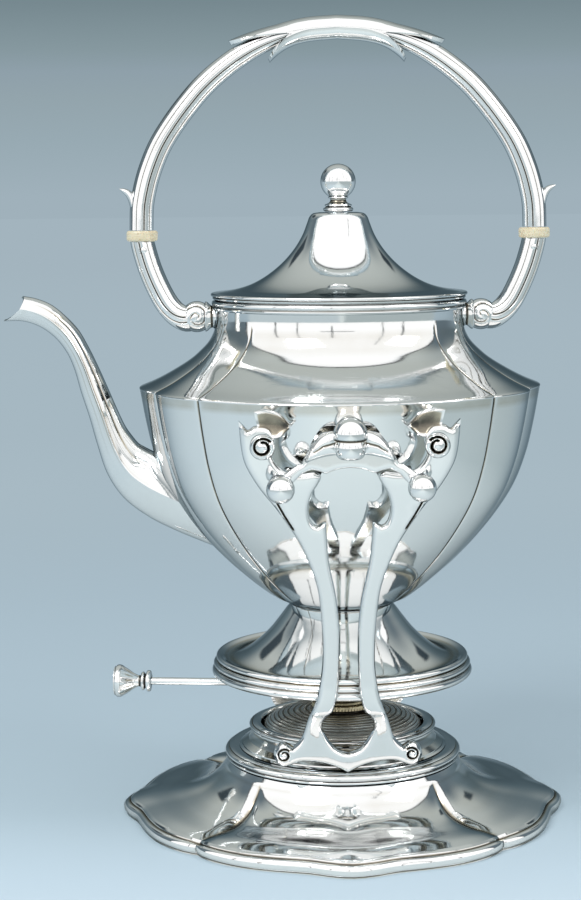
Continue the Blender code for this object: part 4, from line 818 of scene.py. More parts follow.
def kettleAngles(step, near=(0.22, 0.5, 0.9, 1.6, 2.6)):
    angles = set()
    creases = [c for c, _ in kettleLook["creases"]]
    for a, b in zip(creases, creases[1:]):
        angles.update([a] + [a + n for n in near] + [b - n for n in near])
        start, end = a + near[-1], b - near[-1]
        count = max(int(round((end - start) / step)), 1)
        angles.update(round(start + (end - start) * i / count, 4) for i in range(1, count))
    return [radians(a) for a in sorted(angles)]


def kettleOutside(grown=0.0):
    s = kettleLook
    line = chain(smoothLine(s["belly"]), s["rim"], smoothLine(s["shoulder"], 5), (56.4, s["neckTop"]))
    return [(p[0] + grown, p[1]) for p in line]


def makeKettle():
    s = kettleLook
    outside = kettleOutside()
    inner = []
    for i in range(len(outside) - 1, -1, -3):
        before, after = Vector(outside[max(i - 1, 0)]), Vector(outside[min(i + 1, len(outside) - 1)])
        along = (after - before).normalized() * s["wall"]
        inner.append((outside[i][0] - along.y, min(outside[i][1] + along.x, s["neckTop"])))
    inner = [p for p in inner if p[0] > 21.5]
    inner[0] = (inner[0][0], s["neckTop"])
    line = [(0.0, outside[0][1])] + outside + inner + [(0.0, inner[-1][1])]
    bm, holes = bmesh.new(), bmesh.new()
    turn(bm, line, reshape=kettleShape, angles=kettleAngles(3.2))
    h = s["strainer"]
    for y, z in arc(h["centre"], h["spread"], fullTurn(6)) + [h["centre"]]:
        turn(holes, [(0, h["from"]), (h["radius"], h["from"]), (h["radius"], h["to"]), (0, h["to"])], 16, "X",
             (0, y, z))
    finishPiece("kettleBody", "kettle_body", "kettle", cutWith(bm, holes), sharp=26)

    line = chain((56.7, 0.0), reed(57.9, 0.1, 1.5, 0.7, 5), (57.3, 1.7), reed(58.2, 1.9, 4.2, 1.0, 7),
                 (56.7, 4.4), low=s["neckBase"])
    turnedPiece("neckBead", "neck_ring", "kettle", line, 128)

    flare = smoothLine(s["flare"])
    under = [(p[0] - 0.6, p[1] - 1.2) for p in flare[::-4]]
    line = chain((58.4, 0.0), reed(59.7, 0.2, 3.4, 1.5, 8), (58.3, 3.6), reed(59.0, 3.8, 6.2, 1.2, 7),
                 (57.4, 6.4), reed(57.8, 6.6, 9.2, 1.3, 7), (56.2, 9.2), flare, (21.8, 31.9), under[1:],
                 (54.8, 7.4), (57.0, 5.0), (57.1, 0.0), low=s["footBase"])
    turnedPiece("kettleFoot", "kettle_foot", "kettle", line, 144)


spoutLook = {
    # in thousandths: upper edge and lower edge, as shares of the reach and rise, and of the root's width
    "sections": ((-187, 336, -578, -38, 1000), (-57, 373, -252, 38, 930), (-24, 383, -57, 94, 850),
                 (13, 396, 130, 174, 760), (57, 425, 249, 273, 670), (111, 469, 321, 394, 600),
                 (171, 541, 376, 505, 540), (239, 630, 435, 607, 500), (311, 720, 480, 697, 470),
                 (375, 793, 526, 759, 460), (445, 860, 588, 810, 455), (536, 915, 656, 847, 450),
                 (643, 963, 744, 878, 445), (754, 989, 860, 898, 440), (855, 1000, 1000, 899, 440)),
    "root": 91.5, "reach": 61.4, "rise": 112.3, "base": 126.3, "rootWidth": 15.0, "tipWidth": 6.6,
    "wall": 1.1, "notch": 3.6, "roundness": 2.2, "rib": 0.6, "steps": 54,
}


def makeSpout():
    s = spoutLook
    rows = [row / 1000 for row in smoothLine(s["sections"], 5)]
    steps = [-cos(pi * i / s["steps"]) for i in range(s["steps"] + 1)]
    turns = [(a, 1) for a in steps] + [(a, -1) for a in steps[-2:0:-1]]
    bm = bmesh.new()

    def ring(row, share, wall):
        upper, lower = [Vector((-(s["root"] + x * s["reach"]), s["base"] + z * s["rise"]))
                        for x, z in (row[:2], row[2:4])]
        centre, half = (upper + lower) / 2, (upper - lower) / 2
        half -= half.normalized() * wall
        wide = s["tipWidth"] + (s["rootWidth"] - s["tipWidth"]) * (row[4] - 0.44) / 0.56 - wall
        # a narrow raised rib along each side, from the root to the lip, with chased lines beside it
        rib = s["rib"] * sin(pi * min(share * 1.05, 1.0)) if wall == 0 else 0.0
        notch = s["notch"] * max(share - 0.93, 0) / 0.07
        verts = []
        for across, facing in turns:
            at = abs(across)
            keel = exp(-((at - 0.86) / 0.05) ** 2) * (1 if facing > 0 else 0.6)
            keel -= 0.9 * exp(-((at - 0.70) / 0.03) ** 2) if facing > 0 else 0
            keel -= 0.8 * exp(-((at - 0.97) / 0.015) ** 2)
            bulge = facing * (1 - at ** s["roundness"]) * (1 + keel * rib / half.length * 2)
            p = centre + half * bulge
            verts.append(bm.verts.new((p.x + notch * at, across * wide, p.y)))
        return verts

    shares = [i / (len(rows) - 1) for i in range(len(rows))]
    joinRings(bm, [ring(row, t, 0.0) for row, t in zip(rows, shares)]
              + [ring(row, t, s["wall"]) for row, t in list(zip(rows, shares))[::-1]], True)
    cutter = bmesh.new()
    line = kettleOutside(-0.3)
    turn(cutter, [(0.0, line[0][1] - 4.0)] + line + [(0.0, line[-1][1])], reshape=kettleShape,
         angles=kettleAngles(4.0, (0.5, 1.6)))
    finishPiece("swanSpout", "spout", "kettle", cutWith(bm, cutter), sharp=30)


lugLook = {
    "base": 171.1, "halfWidth": 20.5, "height": 17.5, "back": 93.5, "thick": 3.1,
    "eyeHole": 2.4, "hookHole": 2.8, "eyeOutside": 4.3, "neck": 2.6,
    "plate": {"reach": 2.1, "rise": 1.4, "wall": 1.7, "gap": 0.7, "fill": 1.4},
    "bottom": ((0.0, -0.01), (0.24, -0.04), (0.42, -0.11), (0.50, -0.14), (0.62, -0.09), (0.80, -0.04)),
    "wing": ((1.0, 0.05), (0.95, 0.17), (0.85, 0.39), (0.70, 0.65), (0.56, 0.81), (0.37, 0.85)),
    # shade is the painted shade given to the leaves' back rim
    "leafPlate": {"reach": 4.4, "rise": 3.1, "wall": 0.6, "gap": 0.7, "fill": 1.2, "shade": 0.8},
    "leaf": ((4.8, 186.4), (8.5, 186.2), (11.8, 184.7), (14.7, 181.8), (17.0, 177.9), (19.0, 174.2),
             (19.9, 172.2), (17.6, 173.6), (14.7, 174.7), (11.0, 175.7), (7.5, 176.3), (4.8, 176.4)),
    "leafRoot": (4.8, 181.4), "leafLine": ((6.2, 181.6), (11.0, 180.4), (15.2, 177.6)),
    "stemAt": (80.0, 86.8, 91.0, 94.5), "stemHeight": 177.2, "stemWidth": 7.8, "stemDepth": 4.7,
}


def makeLug(name, node, side):
    # the bar's closed eye is at the left and its open hook at the right
    s = lugLook
    bottom, wing = [[tuple(p) for p in smoothLine(scaledLine(s[key], s["halfWidth"], s["height"], 0, s["base"]), 4)]
                    for key in ("bottom", "wing")]
    eye = Vector((bracketLook["pinOffset"], bracketLook["pinHeight"]))
    shoulder, outside = Vector(wing[0]), s["eyeOutside"]
    along = (eye - shoulder).normalized()
    across = Vector((along.y, -along.x)) * s["neck"]
    turned = atan2(-along.y, -along.x)
    spread = asin(s["neck"] / outside)
    low = [tuple(shoulder + along * s["neck"] + across)]
    high = [tuple(shoulder - across * 0.5 + along * 0.8)]
    hook = [(eye.x - outside, eye.y)] + arc(eye, s["hookHole"], np.linspace(pi, 0, 13))
    hook += arc(eye, outside, np.linspace(0, turned - spread, 9))
    closed = arc(eye, outside, np.linspace(turned + spread, turned + 2 * pi - spread, 27))
    right = bottom + low + hook + high + wing[1:]
    left = bottom[1:] + low + closed + high + wing[1:]
    hole = arc((-eye.x, eye.y), s["eyeHole"], fullTurn(20))
    bm = newPlateMesh()
    cushionPlate(bm, chain(right, mirrored(left[::-1])), [hole], s["plate"],
                 lambda x, z, d: (x, side * (s["back"] + d), z))
    # rounded leaves stand out from the plate on both sides of the bud
    leaf = [tuple(p) for p in smoothLine(s["leaf"], 4)] + [s["leafRoot"]]
    for mirror in (1, -1):
        edge, line = [[(mirror * x, z) for x, z in points] for points in (leaf, s["leafLine"])]
        cushionPlate(bm, edge, [], s["leafPlate"],
                     lambda x, z, d: (x, side * (s["back"] + s["thick"] - 0.6 + d), z), [(line, 0.6, 0.45)])
    # the stem behind the bar, let into the kettle's side
    rings = []
    for y in s["stemAt"]:
        wide = s["stemWidth"] + 1.2 * max(88.5 - y, 0) / 8
        rings.append([bm.verts.new((wide * signedPower(cos(t), 0.6), side * y,
                                    s["stemHeight"] + s["stemDepth"] * signedPower(sin(t), 0.6)))
                      for t in [2 * pi * (k + 0.5) / 28 for k in range(28)]])
    joinRings(bm, rings, False)
    for end in (rings[0], rings[-1]):
        bm.faces.new(end)
    finishPiece(name, node, "kettle", bm, sharp=40)


budLook = {
    "base": 174.4, "centre": 97.3, "seat": 96.9, "back": 91.8, "seatTop": 185.8, "ball": 7.1, "ballCentre": 10.7,
    "cup": ((0.0, 0.0), (2.8, 0.1), (4.7, 0.7), (5.8, 2.0), (6.3, 4.2), (6.2, 6.2), (5.8, 7.5), (5.7, 8.1),
            (6.3, 8.6)),
}


def makeBud(name, node, side):
    # a ball in a cup, like a poppy head, flattened where it sits on the bar
    s = budLook
    ball = arc((0.0, s["ballCentre"]), s["ball"], np.radians(np.linspace(-14, 90, 14)))
    bm = bmesh.new()
    turn(bm, chain(smoothLine(s["cup"], 3), ball, low=s["base"]), 60, "Z", (0, side * s["centre"], 0))
    for v in bm.verts:
        if side * v.co.y < s["seat"] and v.co.z < s["seatTop"]:
            v.co.y = side * s["seat"]
        elif side * v.co.y < s["back"]:
            v.co.y = side * s["back"]
    finishPiece(name, node, "kettle", bm, sharp=34)


# a cup that holds the ball at the end of the handle
socketLine = chain((0.0, -1.0),
                   smoothLine([(5.6, -1.0), (5.6, 1.0), (5.0, 2.0), (5.7, 3.1), (6.6, 4.1), (6.9, 4.8)], 4),
                   (6.6, 5.2), (6.1, 4.7), (4.8, 2.5), (3.0, 1.5), (0.0, 1.3), low=56.0)
bailAxis = 228.4

makeKettle()
makeSpout()
for side, sideName in ((-1, "front"), (1, "back")):
    makeLug(sideName + "Lug", sideName + "_lug", side)
    makeBud(sideName + "Bud", sideName + "_bud", side)
for side, handName in ((-1, "left"), (1, "right")):
    turnedPiece(handName + "Socket", "bail_socket_" + handName, "kettle", [(r, side * h) for r, h in socketLine],
                40, axis="X", centre=(0, 0, bailAxis))
print("kettle made")


# lid

lidLook = {
    "seam": 236.3, "radius": 58.6, "height": 39.2, "ball": 8.05, "ballTop": 21.7, "top": 275.8,
    "slope": ((0.955, 0.076), (0.885, 0.092), (0.802, 0.114), (0.683, 0.170), (0.563, 0.268), (0.440, 0.415),
              (0.345, 0.578), (0.280, 0.740), (0.243, 0.880), (0.226, 0.945), (0.200, 0.985), (0.150, 1.0)),
    "bezelLow": 228.5, "bezelHigh": 237.4, "bezel": 54.8,
}


def makeLid():
    s = lidLook
    slope = smoothLine(scaledLine(s["slope"], s["radius"], s["height"]))
    under = [(p[0] - 0.4, p[1] - 1.1) for p in slope[::-5]]
    line = chain((57.0, 0.0), reed(57.8, 0.1, 1.1, 0.5, 5), (57.3, 1.3), reed(s["radius"], 1.4, 2.9, 0.8, 7),
                 (57.0, 2.9), slope, (2.6, s["height"]), under[1:], (56.4, 1.2), (56.4, 0.0), low=s["seam"])
    turnedPiece("lidDome", "lid_shell", "lid", line, 144, sharp=34)

    low, high, out = s["bezelLow"], s["bezelHigh"], s["bezel"]
    line = softCorners([(out, high), (out - 0.9, high), (out - 0.9, low), (out - 0.2, low), (out, low + 1.2),
                        (out, high)], 0.2, 2)
    turnedPiece("lidBezel", "lid_bezel", "lid", line, slotName="shaded_silver")

    line = chain((0.0, -8.8), (2.0, -8.8), (2.2, -8.4), (2.2, 0.0), (6.4, 0.0), reed(6.9, 0.1, 1.8, 0.8), (5.8, 2.1),
                 reed(6.2, 2.3, 3.3, 0.5, 4), smoothLine([(5.2, 3.5), (4.1, 4.1), (3.6, 5.0), (3.7, 5.8)], 4),
                 reed(4.6, 5.9, 6.8, 0.5, 4),
                 arc((0.0, s["ballTop"] - s["ball"]), s["ball"], np.radians(np.linspace(-56, 89, 30))),
                 (0.0, s["ballTop"]), low=s["top"])
    turnedPiece("lidFinial", "lid_finial", "lid", line, 56)


makeLid()
print("lid made")


# bail handle

bailLook = {
    "halfSpan": 89.5, "rise": 130.8, "radius": 5.6, "topRadius": 3.7, "start": 268.1, "ringLow": 263.0,
    "path": ((0.996, 0.385), (0.982, 0.440), (0.956, 0.505), (0.905, 0.590), (0.838, 0.665), (0.750, 0.745),
             (0.670, 0.806), (0.560, 0.870), (0.447, 0.921), (0.320, 0.960), (0.165, 0.990), (0.0, 1.0)),
    "taper": ((0.0, 0.0), (0.28, 0.10), (0.50, 0.75), (0.70, 0.90), (1.0, 1.0)),
    # degrees round half the bar, closest beside its chased lines
    "steps": (0, 14, 28, 40, 50, 57, 62, 65, 68, 72, 78, 86, 93, 97, 100, 102.5, 105, 107.5, 110, 114, 120, 126,
              130, 133, 135.5, 138, 141, 145, 152, 161, 170),
    "thorn": ((90.8, 270.0), (92.1, 275.2), (92.9, 279.6), (93.8, 282.4), (95.4, 284.7), (97.7, 286.2),
              (99.4, 286.9)),
}
sleeveLook = {
    # how far the tips reach along the bar, in half spans: all round, more on top and more below
    "reach": 0.245, "reachAbove": 0.280, "reachBelow": 0.150, "tipFrom": 0.55, "gap": 0.4, "wall": 1.2,
    "tipWall": 0.7, "ridge": 0.4, "ridgeWidth": 0.16, "liftAbove": 0.9, "liftBelow": 2.4,
    "around": 56, "steps": 44,
}
stubLook = {
    "start": 65.5, "ball": 7.1, "ballAt": 64.9, "pivot": 3.0, "peg": 2.5, "ring": 4.8, "rivet": 6.2,
    "path": ((0.0, 0.0), (0.17, -0.035), (0.37, 0.035), (0.54, 0.170), (0.70, 0.375), (0.855, 0.635),
             (0.96, 0.880), (1.0, 1.0)),
}


def bailRadiusAt(x):
    s = bailLook
    return s["topRadius"] + np.interp(abs(x) / s["halfSpan"], *zip(*s["taper"])) * (s["radius"] - s["topRadius"])


def keeledSection(radius, groove=0.15):
    # a round bar with a narrower rib toward the inside, set off by chased lines on each side
    section = []
    steps = list(bailLook["steps"])
    for turned in steps + [180] + [360 - a for a in steps[:0:-1]]:
        away = min(turned, 360 - turned)
        r = 1.0 - groove * 0.35 * exp(-((away - 65) / 3.2) ** 2) - groove * exp(-((away - 104) / 4.2) ** 2)
        r -= groove * 0.8 * exp(-((away - 135.5) / 4.0) ** 2) + 0.06 * max(away - 104, 0) / 76
        section += arc((0, 0), radius * r, [radians(turned)])
    return section


def makeThorn(bm, side):
    # a leaf tip that lies along the bar and hooks outward to a point
    spine = smoothLine(bailLook["thorn"], 5)

    def section(i):
        share = i / (len(spine) - 1)
        wide = 3.8 * (1 - share ** 1.7) + 0.4
        deep = 1.3 + 0.8 * sin(pi * share ** 0.8) - 1.1 * share ** 3
        return [(deep * cos(t), wide * sin(t)) for t in fullTurn(16)]

    sweep(bm, [(side * p.x, 0, p.y) for p in spine], section)


def makeSleeve(path):
    # upper tips run on along the top of the bar, lower tips curl down and stand off
    s = sleeveLook
    run = np.concatenate([[0], np.cumsum(np.hypot(*np.diff(path, axis=0).T))])

    def pointAt(at):
        return np.array([np.interp(at, run, path[:, k]) for k in (0, 1)])

    bm = bmesh.new()
    layers = []
    for layer in (0, 1):
        rings = []
        for step in range(s["steps"] + 1):
            share = signedPower(2 * step / s["steps"] - 1, 0.85)
            tip = max(abs(share) - s["tipFrom"], 0) / (1 - s["tipFrom"])
            ring = []
            for turned in fullTurn(s["around"]):
                up, down = max(cos(turned), 0), max(-cos(turned), 0)
                reach = s["reach"] + s["reachAbove"] * up ** 1.3 + s["reachBelow"] * down ** 1.2
                at = run[-1] / 2 + share * reach * bailLook["halfSpan"]
                here = pointAt(at)
                heading = Vector(pointAt(at + 0.5) - here).normalized()
                outward = Vector((-heading.y, heading.x))
                outward *= copysign(1, outward.y)
                ridge = s["ridge"] * exp(-(sin(turned) / s["ridgeWidth"]) ** 2) * up
                wall = s["gap"] + layer * (s["wall"] + s["tipWall"] * tip * (up + down) + ridge)
                lift = (s["liftBelow"] * down ** 2 + s["liftAbove"] * up ** 2) * tip ** 2
                r = bailRadiusAt(here[0]) + wall + lift
                p = Vector(here) + outward * r * cos(turned)
                ring.append(bm.verts.new((p.x, r * sin(turned), p.y)))
            rings.append(ring)
        layers.append(rings)
    joinRings(bm, layers[0] + layers[1][::-1], True)
    finishPiece("leafSleeve", "bail_sheath", "bail", bm, sharp=44)


def makeBail():
    s = bailLook
    half = smoothLine([(s["halfSpan"], s["start"])] + scaledLine(s["path"], s["halfSpan"], s["rise"], 0, bailAxis), 7)
    path = np.array([(p.x, p.y) for p in half] + [(-p.x, p.y) for p in half[-2::-1]])
    bm = bmesh.new()
    sweep(bm, [(x, 0, z) for x, z in path], lambda i: keeledSection(bailRadiusAt(path[i][0])),
          ((0, 0, 1), (0, 0, -1)))
    for side in (1, -1):
        makeThorn(bm, side)
    finishPiece("bailBar", "bail_arch", "bail", bm, sharp=40)
    makeSleeve(path)


def makeStub(name, side):
    s = stubLook
    span, ringLow, start, ball = bailLook["halfSpan"], bailLook["ringLow"], s["start"], s["ball"]
    line = smoothLine(scaledLine(s["path"], span - start, ringLow - 0.3 - bailAxis, start, bailAxis))
    pivot = {"axis": "X", "centre": (0, 0, bailAxis)}
    upright = {"axis": "Z", "centre": (side * span, 0, 0)}

    def section(i):
        share = i / (len(line) - 1)
        turnedBy = 1.1 * max(1 - share / 0.5, 0) ** 2
        radius = bailLook["radius"] * (1 + 0.06 * max(1 - share / 0.4, 0))
        return [(-side * (a * cos(turnedBy) - b * sin(turnedBy)), a * sin(turnedBy) + b * cos(turnedBy))
                for a, b in keeledSection(radius, 0.15 * min(share / 0.12, 1))]

    def wound(radius, height, angle):
        # a line wound into the middle of the knuckle's outer side
        x, z = side * height - s["ballAt"], radius * sin(angle)
        out, wayRound = hypot(x, z) / ball, (atan2(z, x) + 0.6) % (2 * pi)
        near = min(abs(out - (0.93 - 0.50 * (wayRound / (2 * pi) + lap))) for lap in (0, 1))
        less = 1 - 0.10 * exp(-(near / 0.055) ** 2) * min(wayRound, 1)
        return radius * less, side * (s["ballAt"] + x * less)

    bm = bmesh.new()
    sweep(bm, [(side * p.x, 0, p.y) for p in line], section, ((side, 0, 0), (0, 0, 1)))
    # the rolled knuckle turns in the socket's cup
    turns = np.radians(np.linspace(-90, 90, 45))
    turn(bm, [(max(r, 0), side * h) for r, h in arc((0, s["ballAt"]), ball, turns)], 84, reshape=wound, **pivot)
    for r, ends, bevel, count, where in ((s["pivot"], (start - 5.5, start + 3.0), (0.3, 0.4), 24, pivot),
                                         (s["peg"], (ringLow + 10.4, ringLow - 4.0), (0.4, -0.4), 24, upright)):
        flip = side if where is pivot else 1
        turn(bm, [(0, flip * ends[0]), (r - bevel[0], flip * ends[0]), (r, flip * (ends[0] + bevel[1])),
                  (r, flip * ends[1]), (0, flip * ends[1])], count, **where)
    finishPiece(name + "Stub", "bail_stub_" + name, "bail", bm, sharp=40)

    line = [(2.8, 0.0), (6.0, 0.0), (6.7, 0.2), (7.1, 0.9), (7.05, 2.4), (7.1, 3.9), (6.7, 4.6), (6.0, s["ring"]),
            (2.8, s["ring"]), (2.8, 0.0)]
    turnedPiece(name + "IvoryRing", "ivory_ring_" + name, "bail",
                chain(softCorners(line, 0.2, 2)[:-1], low=ringLow), 64, "ivory",
                reshape=lambda r, h, a: (r + 0.08 * sin(5 * a + 1) + 0.05 * sin(11 * a), h), **upright)

    head = [(0.0, -s["rivet"])] + [(1.3 * sin(a), 0.5 - s["rivet"] - 0.5 * cos(a)) for a in np.radians((35, 65, 90))]
    half = chain(head, (0.7, 0.4 - s["rivet"]))
    turnedPiece(name + "Rivet", "bail_rivet_" + name, "bail", half + [(r, -h) for r, h in half[::-1]], 22,
                axis="Y", centre=(side * span * 0.988, 0, ringLow - 4.0))


makeBail()
makeStub("left", -1)
makeStub("right", 1)
print("bail made")


# spirit lamp

lampLook = {
    "floor": 25.6, "radius": 36.3, "shoulder": 39.1, "domeRise": 8.0, "neckRadius": 9.0, "neckBase": 47.1,
    "neckTop": 49.3, "wall": 0.9, "turned": radians(-6), "ripple": 0.3,
    "cap": 14.0, "milling": 0.28, "teeth": 60, "tube": 10.8, "tubeLow": 52.0, "tubeHigh": 60.2,
    "slot": 1.1, "slotHeight": 54.9, "slots": (0, 1, 2, 3, 6, 7, 8, 9),
    "rod": 1.7, "rodOffset": 4.9, "rodHeight": 57.2, "rodBore": 2.2, "reach": 95.5, "rodEnd": 12.0,
    "knob": 7.5, "knobLength": 17.2, "flutes": 12,
    "knobNeck": ((0.34, 0.33), (0.37, 0.38), (0.46, 0.46), (0.64, 0.58), (0.82, 0.70), (0.95, 0.80)),
}
rodCentre = (0, lampLook["rodOffset"], lampLook["rodHeight"])
wickLook = {"top": 60.2, "length": 27.0, "wide": 4.8, "deep": 1.4, "rib": 1.6, "fray": 0.7, "rows": 28, "around": 36}


def makeLamp():
    # the lamp sits turned a little in its cup, as its rod shows
    s = lampLook
    low, r, wall, neck = s["floor"], s["radius"], s["wall"], s["neckRadius"]
    dome = []
    for i in range(55):
        # fine turned rings run round the shoulder
        t = pi / 2 * i / 54
        dome.append((neck + 0.6 + (r - neck - 0.6) * cos(t),
                     s["shoulder"] + s["domeRise"] * sin(t) - (s["ripple"] if i % 4 == 1 else 0)))
    inner = [(max(p[0] - wall, neck - wall), p[1] - wall) for p in dome[::-6]]
    line = chain((0.0, low), softCorners([(r - 2.0, low), (r, low + 0.6), (r, low + 2.4)], 1.2),
                 reed(r, low + 11.2, low + 12.6, 0.5, 4), dome, (neck, s["neckBase"]), (neck, s["neckTop"]),
                 (neck - wall, s["neckTop"]), inner, (r - wall, s["shoulder"] - 2.0), (r - wall, low + 1.8),
                 (r - 2.0, low + wall), (0.0, low + wall))
    turnedPiece("lampFont", "lamp_reservoir", "lamp", line, 128, "shaded_silver", 30, s["turned"])

    cap, base, top = s["cap"], s["neckBase"] + 0.3, s["neckTop"] + 1.2

    def milled(radius, height, angle):
        on = radius > cap - 0.4 and base + 1.1 < height < top - 0.6
        return radius - (s["milling"] * (0.5 - 0.5 * cos(s["teeth"] * angle)) if on else 0), height

    line = softCorners([(9.3, base + 0.9), (cap, base + 0.9), (cap, top - 0.2), (cap - 1.6, top), (7.0, top),
                        (7.0, top - 0.9), (9.3, top - 0.9), (9.3, base + 0.9)], 0.3)
    turnedPiece("burnerCap", "burner_cap", "lamp", line[:-1], 240, "brass", 34, s["turned"], reshape=milled)

    low, high, outer = s["tubeLow"], s["tubeHigh"], s["tube"]
    line = chain(softCorners([(outer - 0.8, low), (outer, low), (outer, low + 1.6)], 0.3),
                 reed(outer + 0.3, low + 1.8, low + 2.6, 0.3, 4), (outer, low + 2.8), (outer, high - 1.6),
                 reed(outer + 0.3, high - 1.4, high - 0.2, 0.5, 5), (outer - 0.4, high), (outer - 0.8, high - 0.2))
    bm, bore, bored = bmesh.new(), bmesh.new(), s["rodBore"]
    turn(bm, line, 72)
    turn(bore, [(0, -15.0), (bored, -15.0), (bored, 15.0), (0, 15.0)], 24, "X", rodCentre)
    bm = cutWith(bm, bore)
    # breathing slots between the two beads
    for k in s["slots"]:
        slot = bmesh.new()
        turn(slot, [(0, 8.0), (s["slot"], 8.0), (s["slot"], 14.0), (0, 14.0)], 14, "X", (0, 0, s["slotHeight"]))
        bmesh.ops.rotate(slot, verts=slot.verts[:], matrix=Matrix.Rotation(2 * pi * (k + 0.5) / 10, 3, "Z"))
        bm = cutWith(bm, slot)
    finishPiece("burnerHousing", "burner_housing", "lamp", bm, "brass", 30, s["turned"])


def makeWick():
    # flat and woven, its lit end frayed
    s = wickLook
    bm = bmesh.new()
    rings = []
    for k in range(s["rows"]):
        share = k / (s["rows"] - 1)
        z = s["top"] - s["length"] * (1 - share ** 0.8)
        ring = []
        for j, t in enumerate(fullTurn(s["around"])):
            x = s["wide"] * signedPower(max(min(cos(t) * 1.15, 1), -1), 0.6)
            y = s["deep"] * signedPower(sin(t), 0.5) * (1 - 0.08 * (0.5 + 0.5 * cos(2 * pi * x / s["rib"])))
            fray = s["fray"] * (0.5 + 0.5 * sin(9.7 * j + 2)) if share == 1 else 0.0
            ring.append(bm.verts.new((x * 0.98, y, z - fray)))
        rings.append(ring)
    bm.faces.new(rings[0])
    joinRings(bm, rings + [[bm.verts.new((0, 0, s["top"] - 0.2))]], False)
    finishPiece("flatWick", "wick", "wick", bm, "cotton", 60, lampLook["turned"])


def makeWinder():
    s = lampLook
    rod, reach = s["rod"], s["reach"]
    line = [(0.0, -reach), (rod - 0.3, -reach), (rod, 0.3 - reach)]
    line += [(rod * (1 + 0.03 * sin(k * 2.2)), 4.0 - reach + 11.5 * k) for k in range(8)]
    line += [(rod, s["rodEnd"] - 0.3), (rod - 0.3, s["rodEnd"]), (0.0, s["rodEnd"])]
    turnedPiece("winderRod", "winder_shaft", "winder", line, 28, turned=s["turned"], axis="X", centre=rodCentre)

    mouth, length = 6.0 - reach, s["knobLength"]
    shares = chain((0.46, 0.0), reed(0.66, 0.01, 0.13, 0.10), (0.46, 0.145), (0.44, 0.17),
                   reed(0.57, 0.18, 0.27, 0.10, 5), (0.36, 0.29), smoothLine(s["knobNeck"], 5),
                   reed(1.0, 0.80, 0.95, 0.07), (0.90, 0.965), reed(0.90, 0.965, 1.0, 0.03, 3),
                   (0.80, 0.985), (0.55, 0.975), (0.30, 0.985), (0.0, 0.995))

    def fluted(radius, height, angle):
        along = min(max(((mouth - height) / length - 0.42) / 0.36, 0), 1)
        return radius * (1 - 0.04 * sin(pi * along) * (0.5 - 0.5 * cos(s["flutes"] * angle))), height

    line = [(0.0, -reach - 0.3), (2.0, -reach - 0.3), (2.0, mouth)] + scaledLine(shares, s["knob"], -length, 0, mouth)
    turnedPiece("winderKnob", "winder_knob", "winder", line, 96, sharp=30, turned=s["turned"], axis="X",
                centre=rodCentre, reshape=fluted)


makeLamp()
makeWick()
makeWinder()
print("lamp made")


# solids that keep their own shape get the finishes

for node, finish in (("finial_nut", "brass"), ("wick_pinion", "brass"), ("wick_tube", "brass"),
                     ("body_hinge_leaf", "polished_silver"), ("lid_hinge_leaf", "polished_silver"),
                     ("hinge_pin", "shaded_silver")):
    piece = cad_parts[node]
    if not piece.material_slots:
        piece.data.materials.append(finishes[finish])
    for slot in piece.material_slots:
        slot.material = finishes[finish]
print("finishes put on the solids that stay")


# floor, surroundings, lights and camera, in metres

def lin(red, green, blue):
    # a colour read off a screen, as the shader wants it
    return tuple(((c / 255 + 0.055) / 1.055) ** 2.4 if c > 10 else c / 3294.6 for c in (red, green, blue))


def colourRamp(tree, share, stops):
    node = addNode(tree, "ValToRGB", {"Fac": share})
    elements = node.color_ramp.elements
    while len(elements) > 1:
        elements.remove(elements[-1])
    elements[0].position = stops[0][0]
    elements[0].color = (*lin(*stops[0][1]), 1)
    for at, colour in stops[1:]:
        elements.new(at).color = (*lin(*colour), 1)
    return node.outputs["Color"]


def between(tree, value, start, end, **settings):
    return addNode(tree, "MapRange", {0: value, 1: start, 2: end}, **settings).outputs[0]


def stepUp(tree, value, at, soft):
    return between(tree, value, at - soft, at + soft, interpolation_type="SMOOTHSTEP")


floorLook = {
    "centre": 0.02, "rings": (0.15, 0.4, 1.0, 2.5, 7.0, 26.0), "around": 96,
    # painted light: the floor is coloured lighter in front and darker behind, as the light falls off; place from
    # front to back as a share of 2.4 m from 0.9 m in front, and the colour there
    "colours": ((0.0, (236, 241, 244)), (0.17, (232, 239, 243)), (0.25, (222, 232, 238)),
                (0.30, (207, 223, 232)), (0.335, (197, 215, 226)), (0.375, (184, 203, 213)),
                (0.485, (173, 191, 201)), (0.585, (170, 188, 198)), (1.0, (166, 184, 194))),
    "far": (163, 180, 190), "mirroredSide": (203, 213, 215),
    # painted reflection: the metal is shown a brighter table on the camera's side of the tent than the camera sees:
    # coordinate, from, to, colour
    "mirrored": (("Y", -0.05, -0.5, (217, 226, 226)), ("X", -0.04, -0.34, (190, 203, 208)),
                 ("X", 0.10, 0.42, (170, 182, 184))),
}


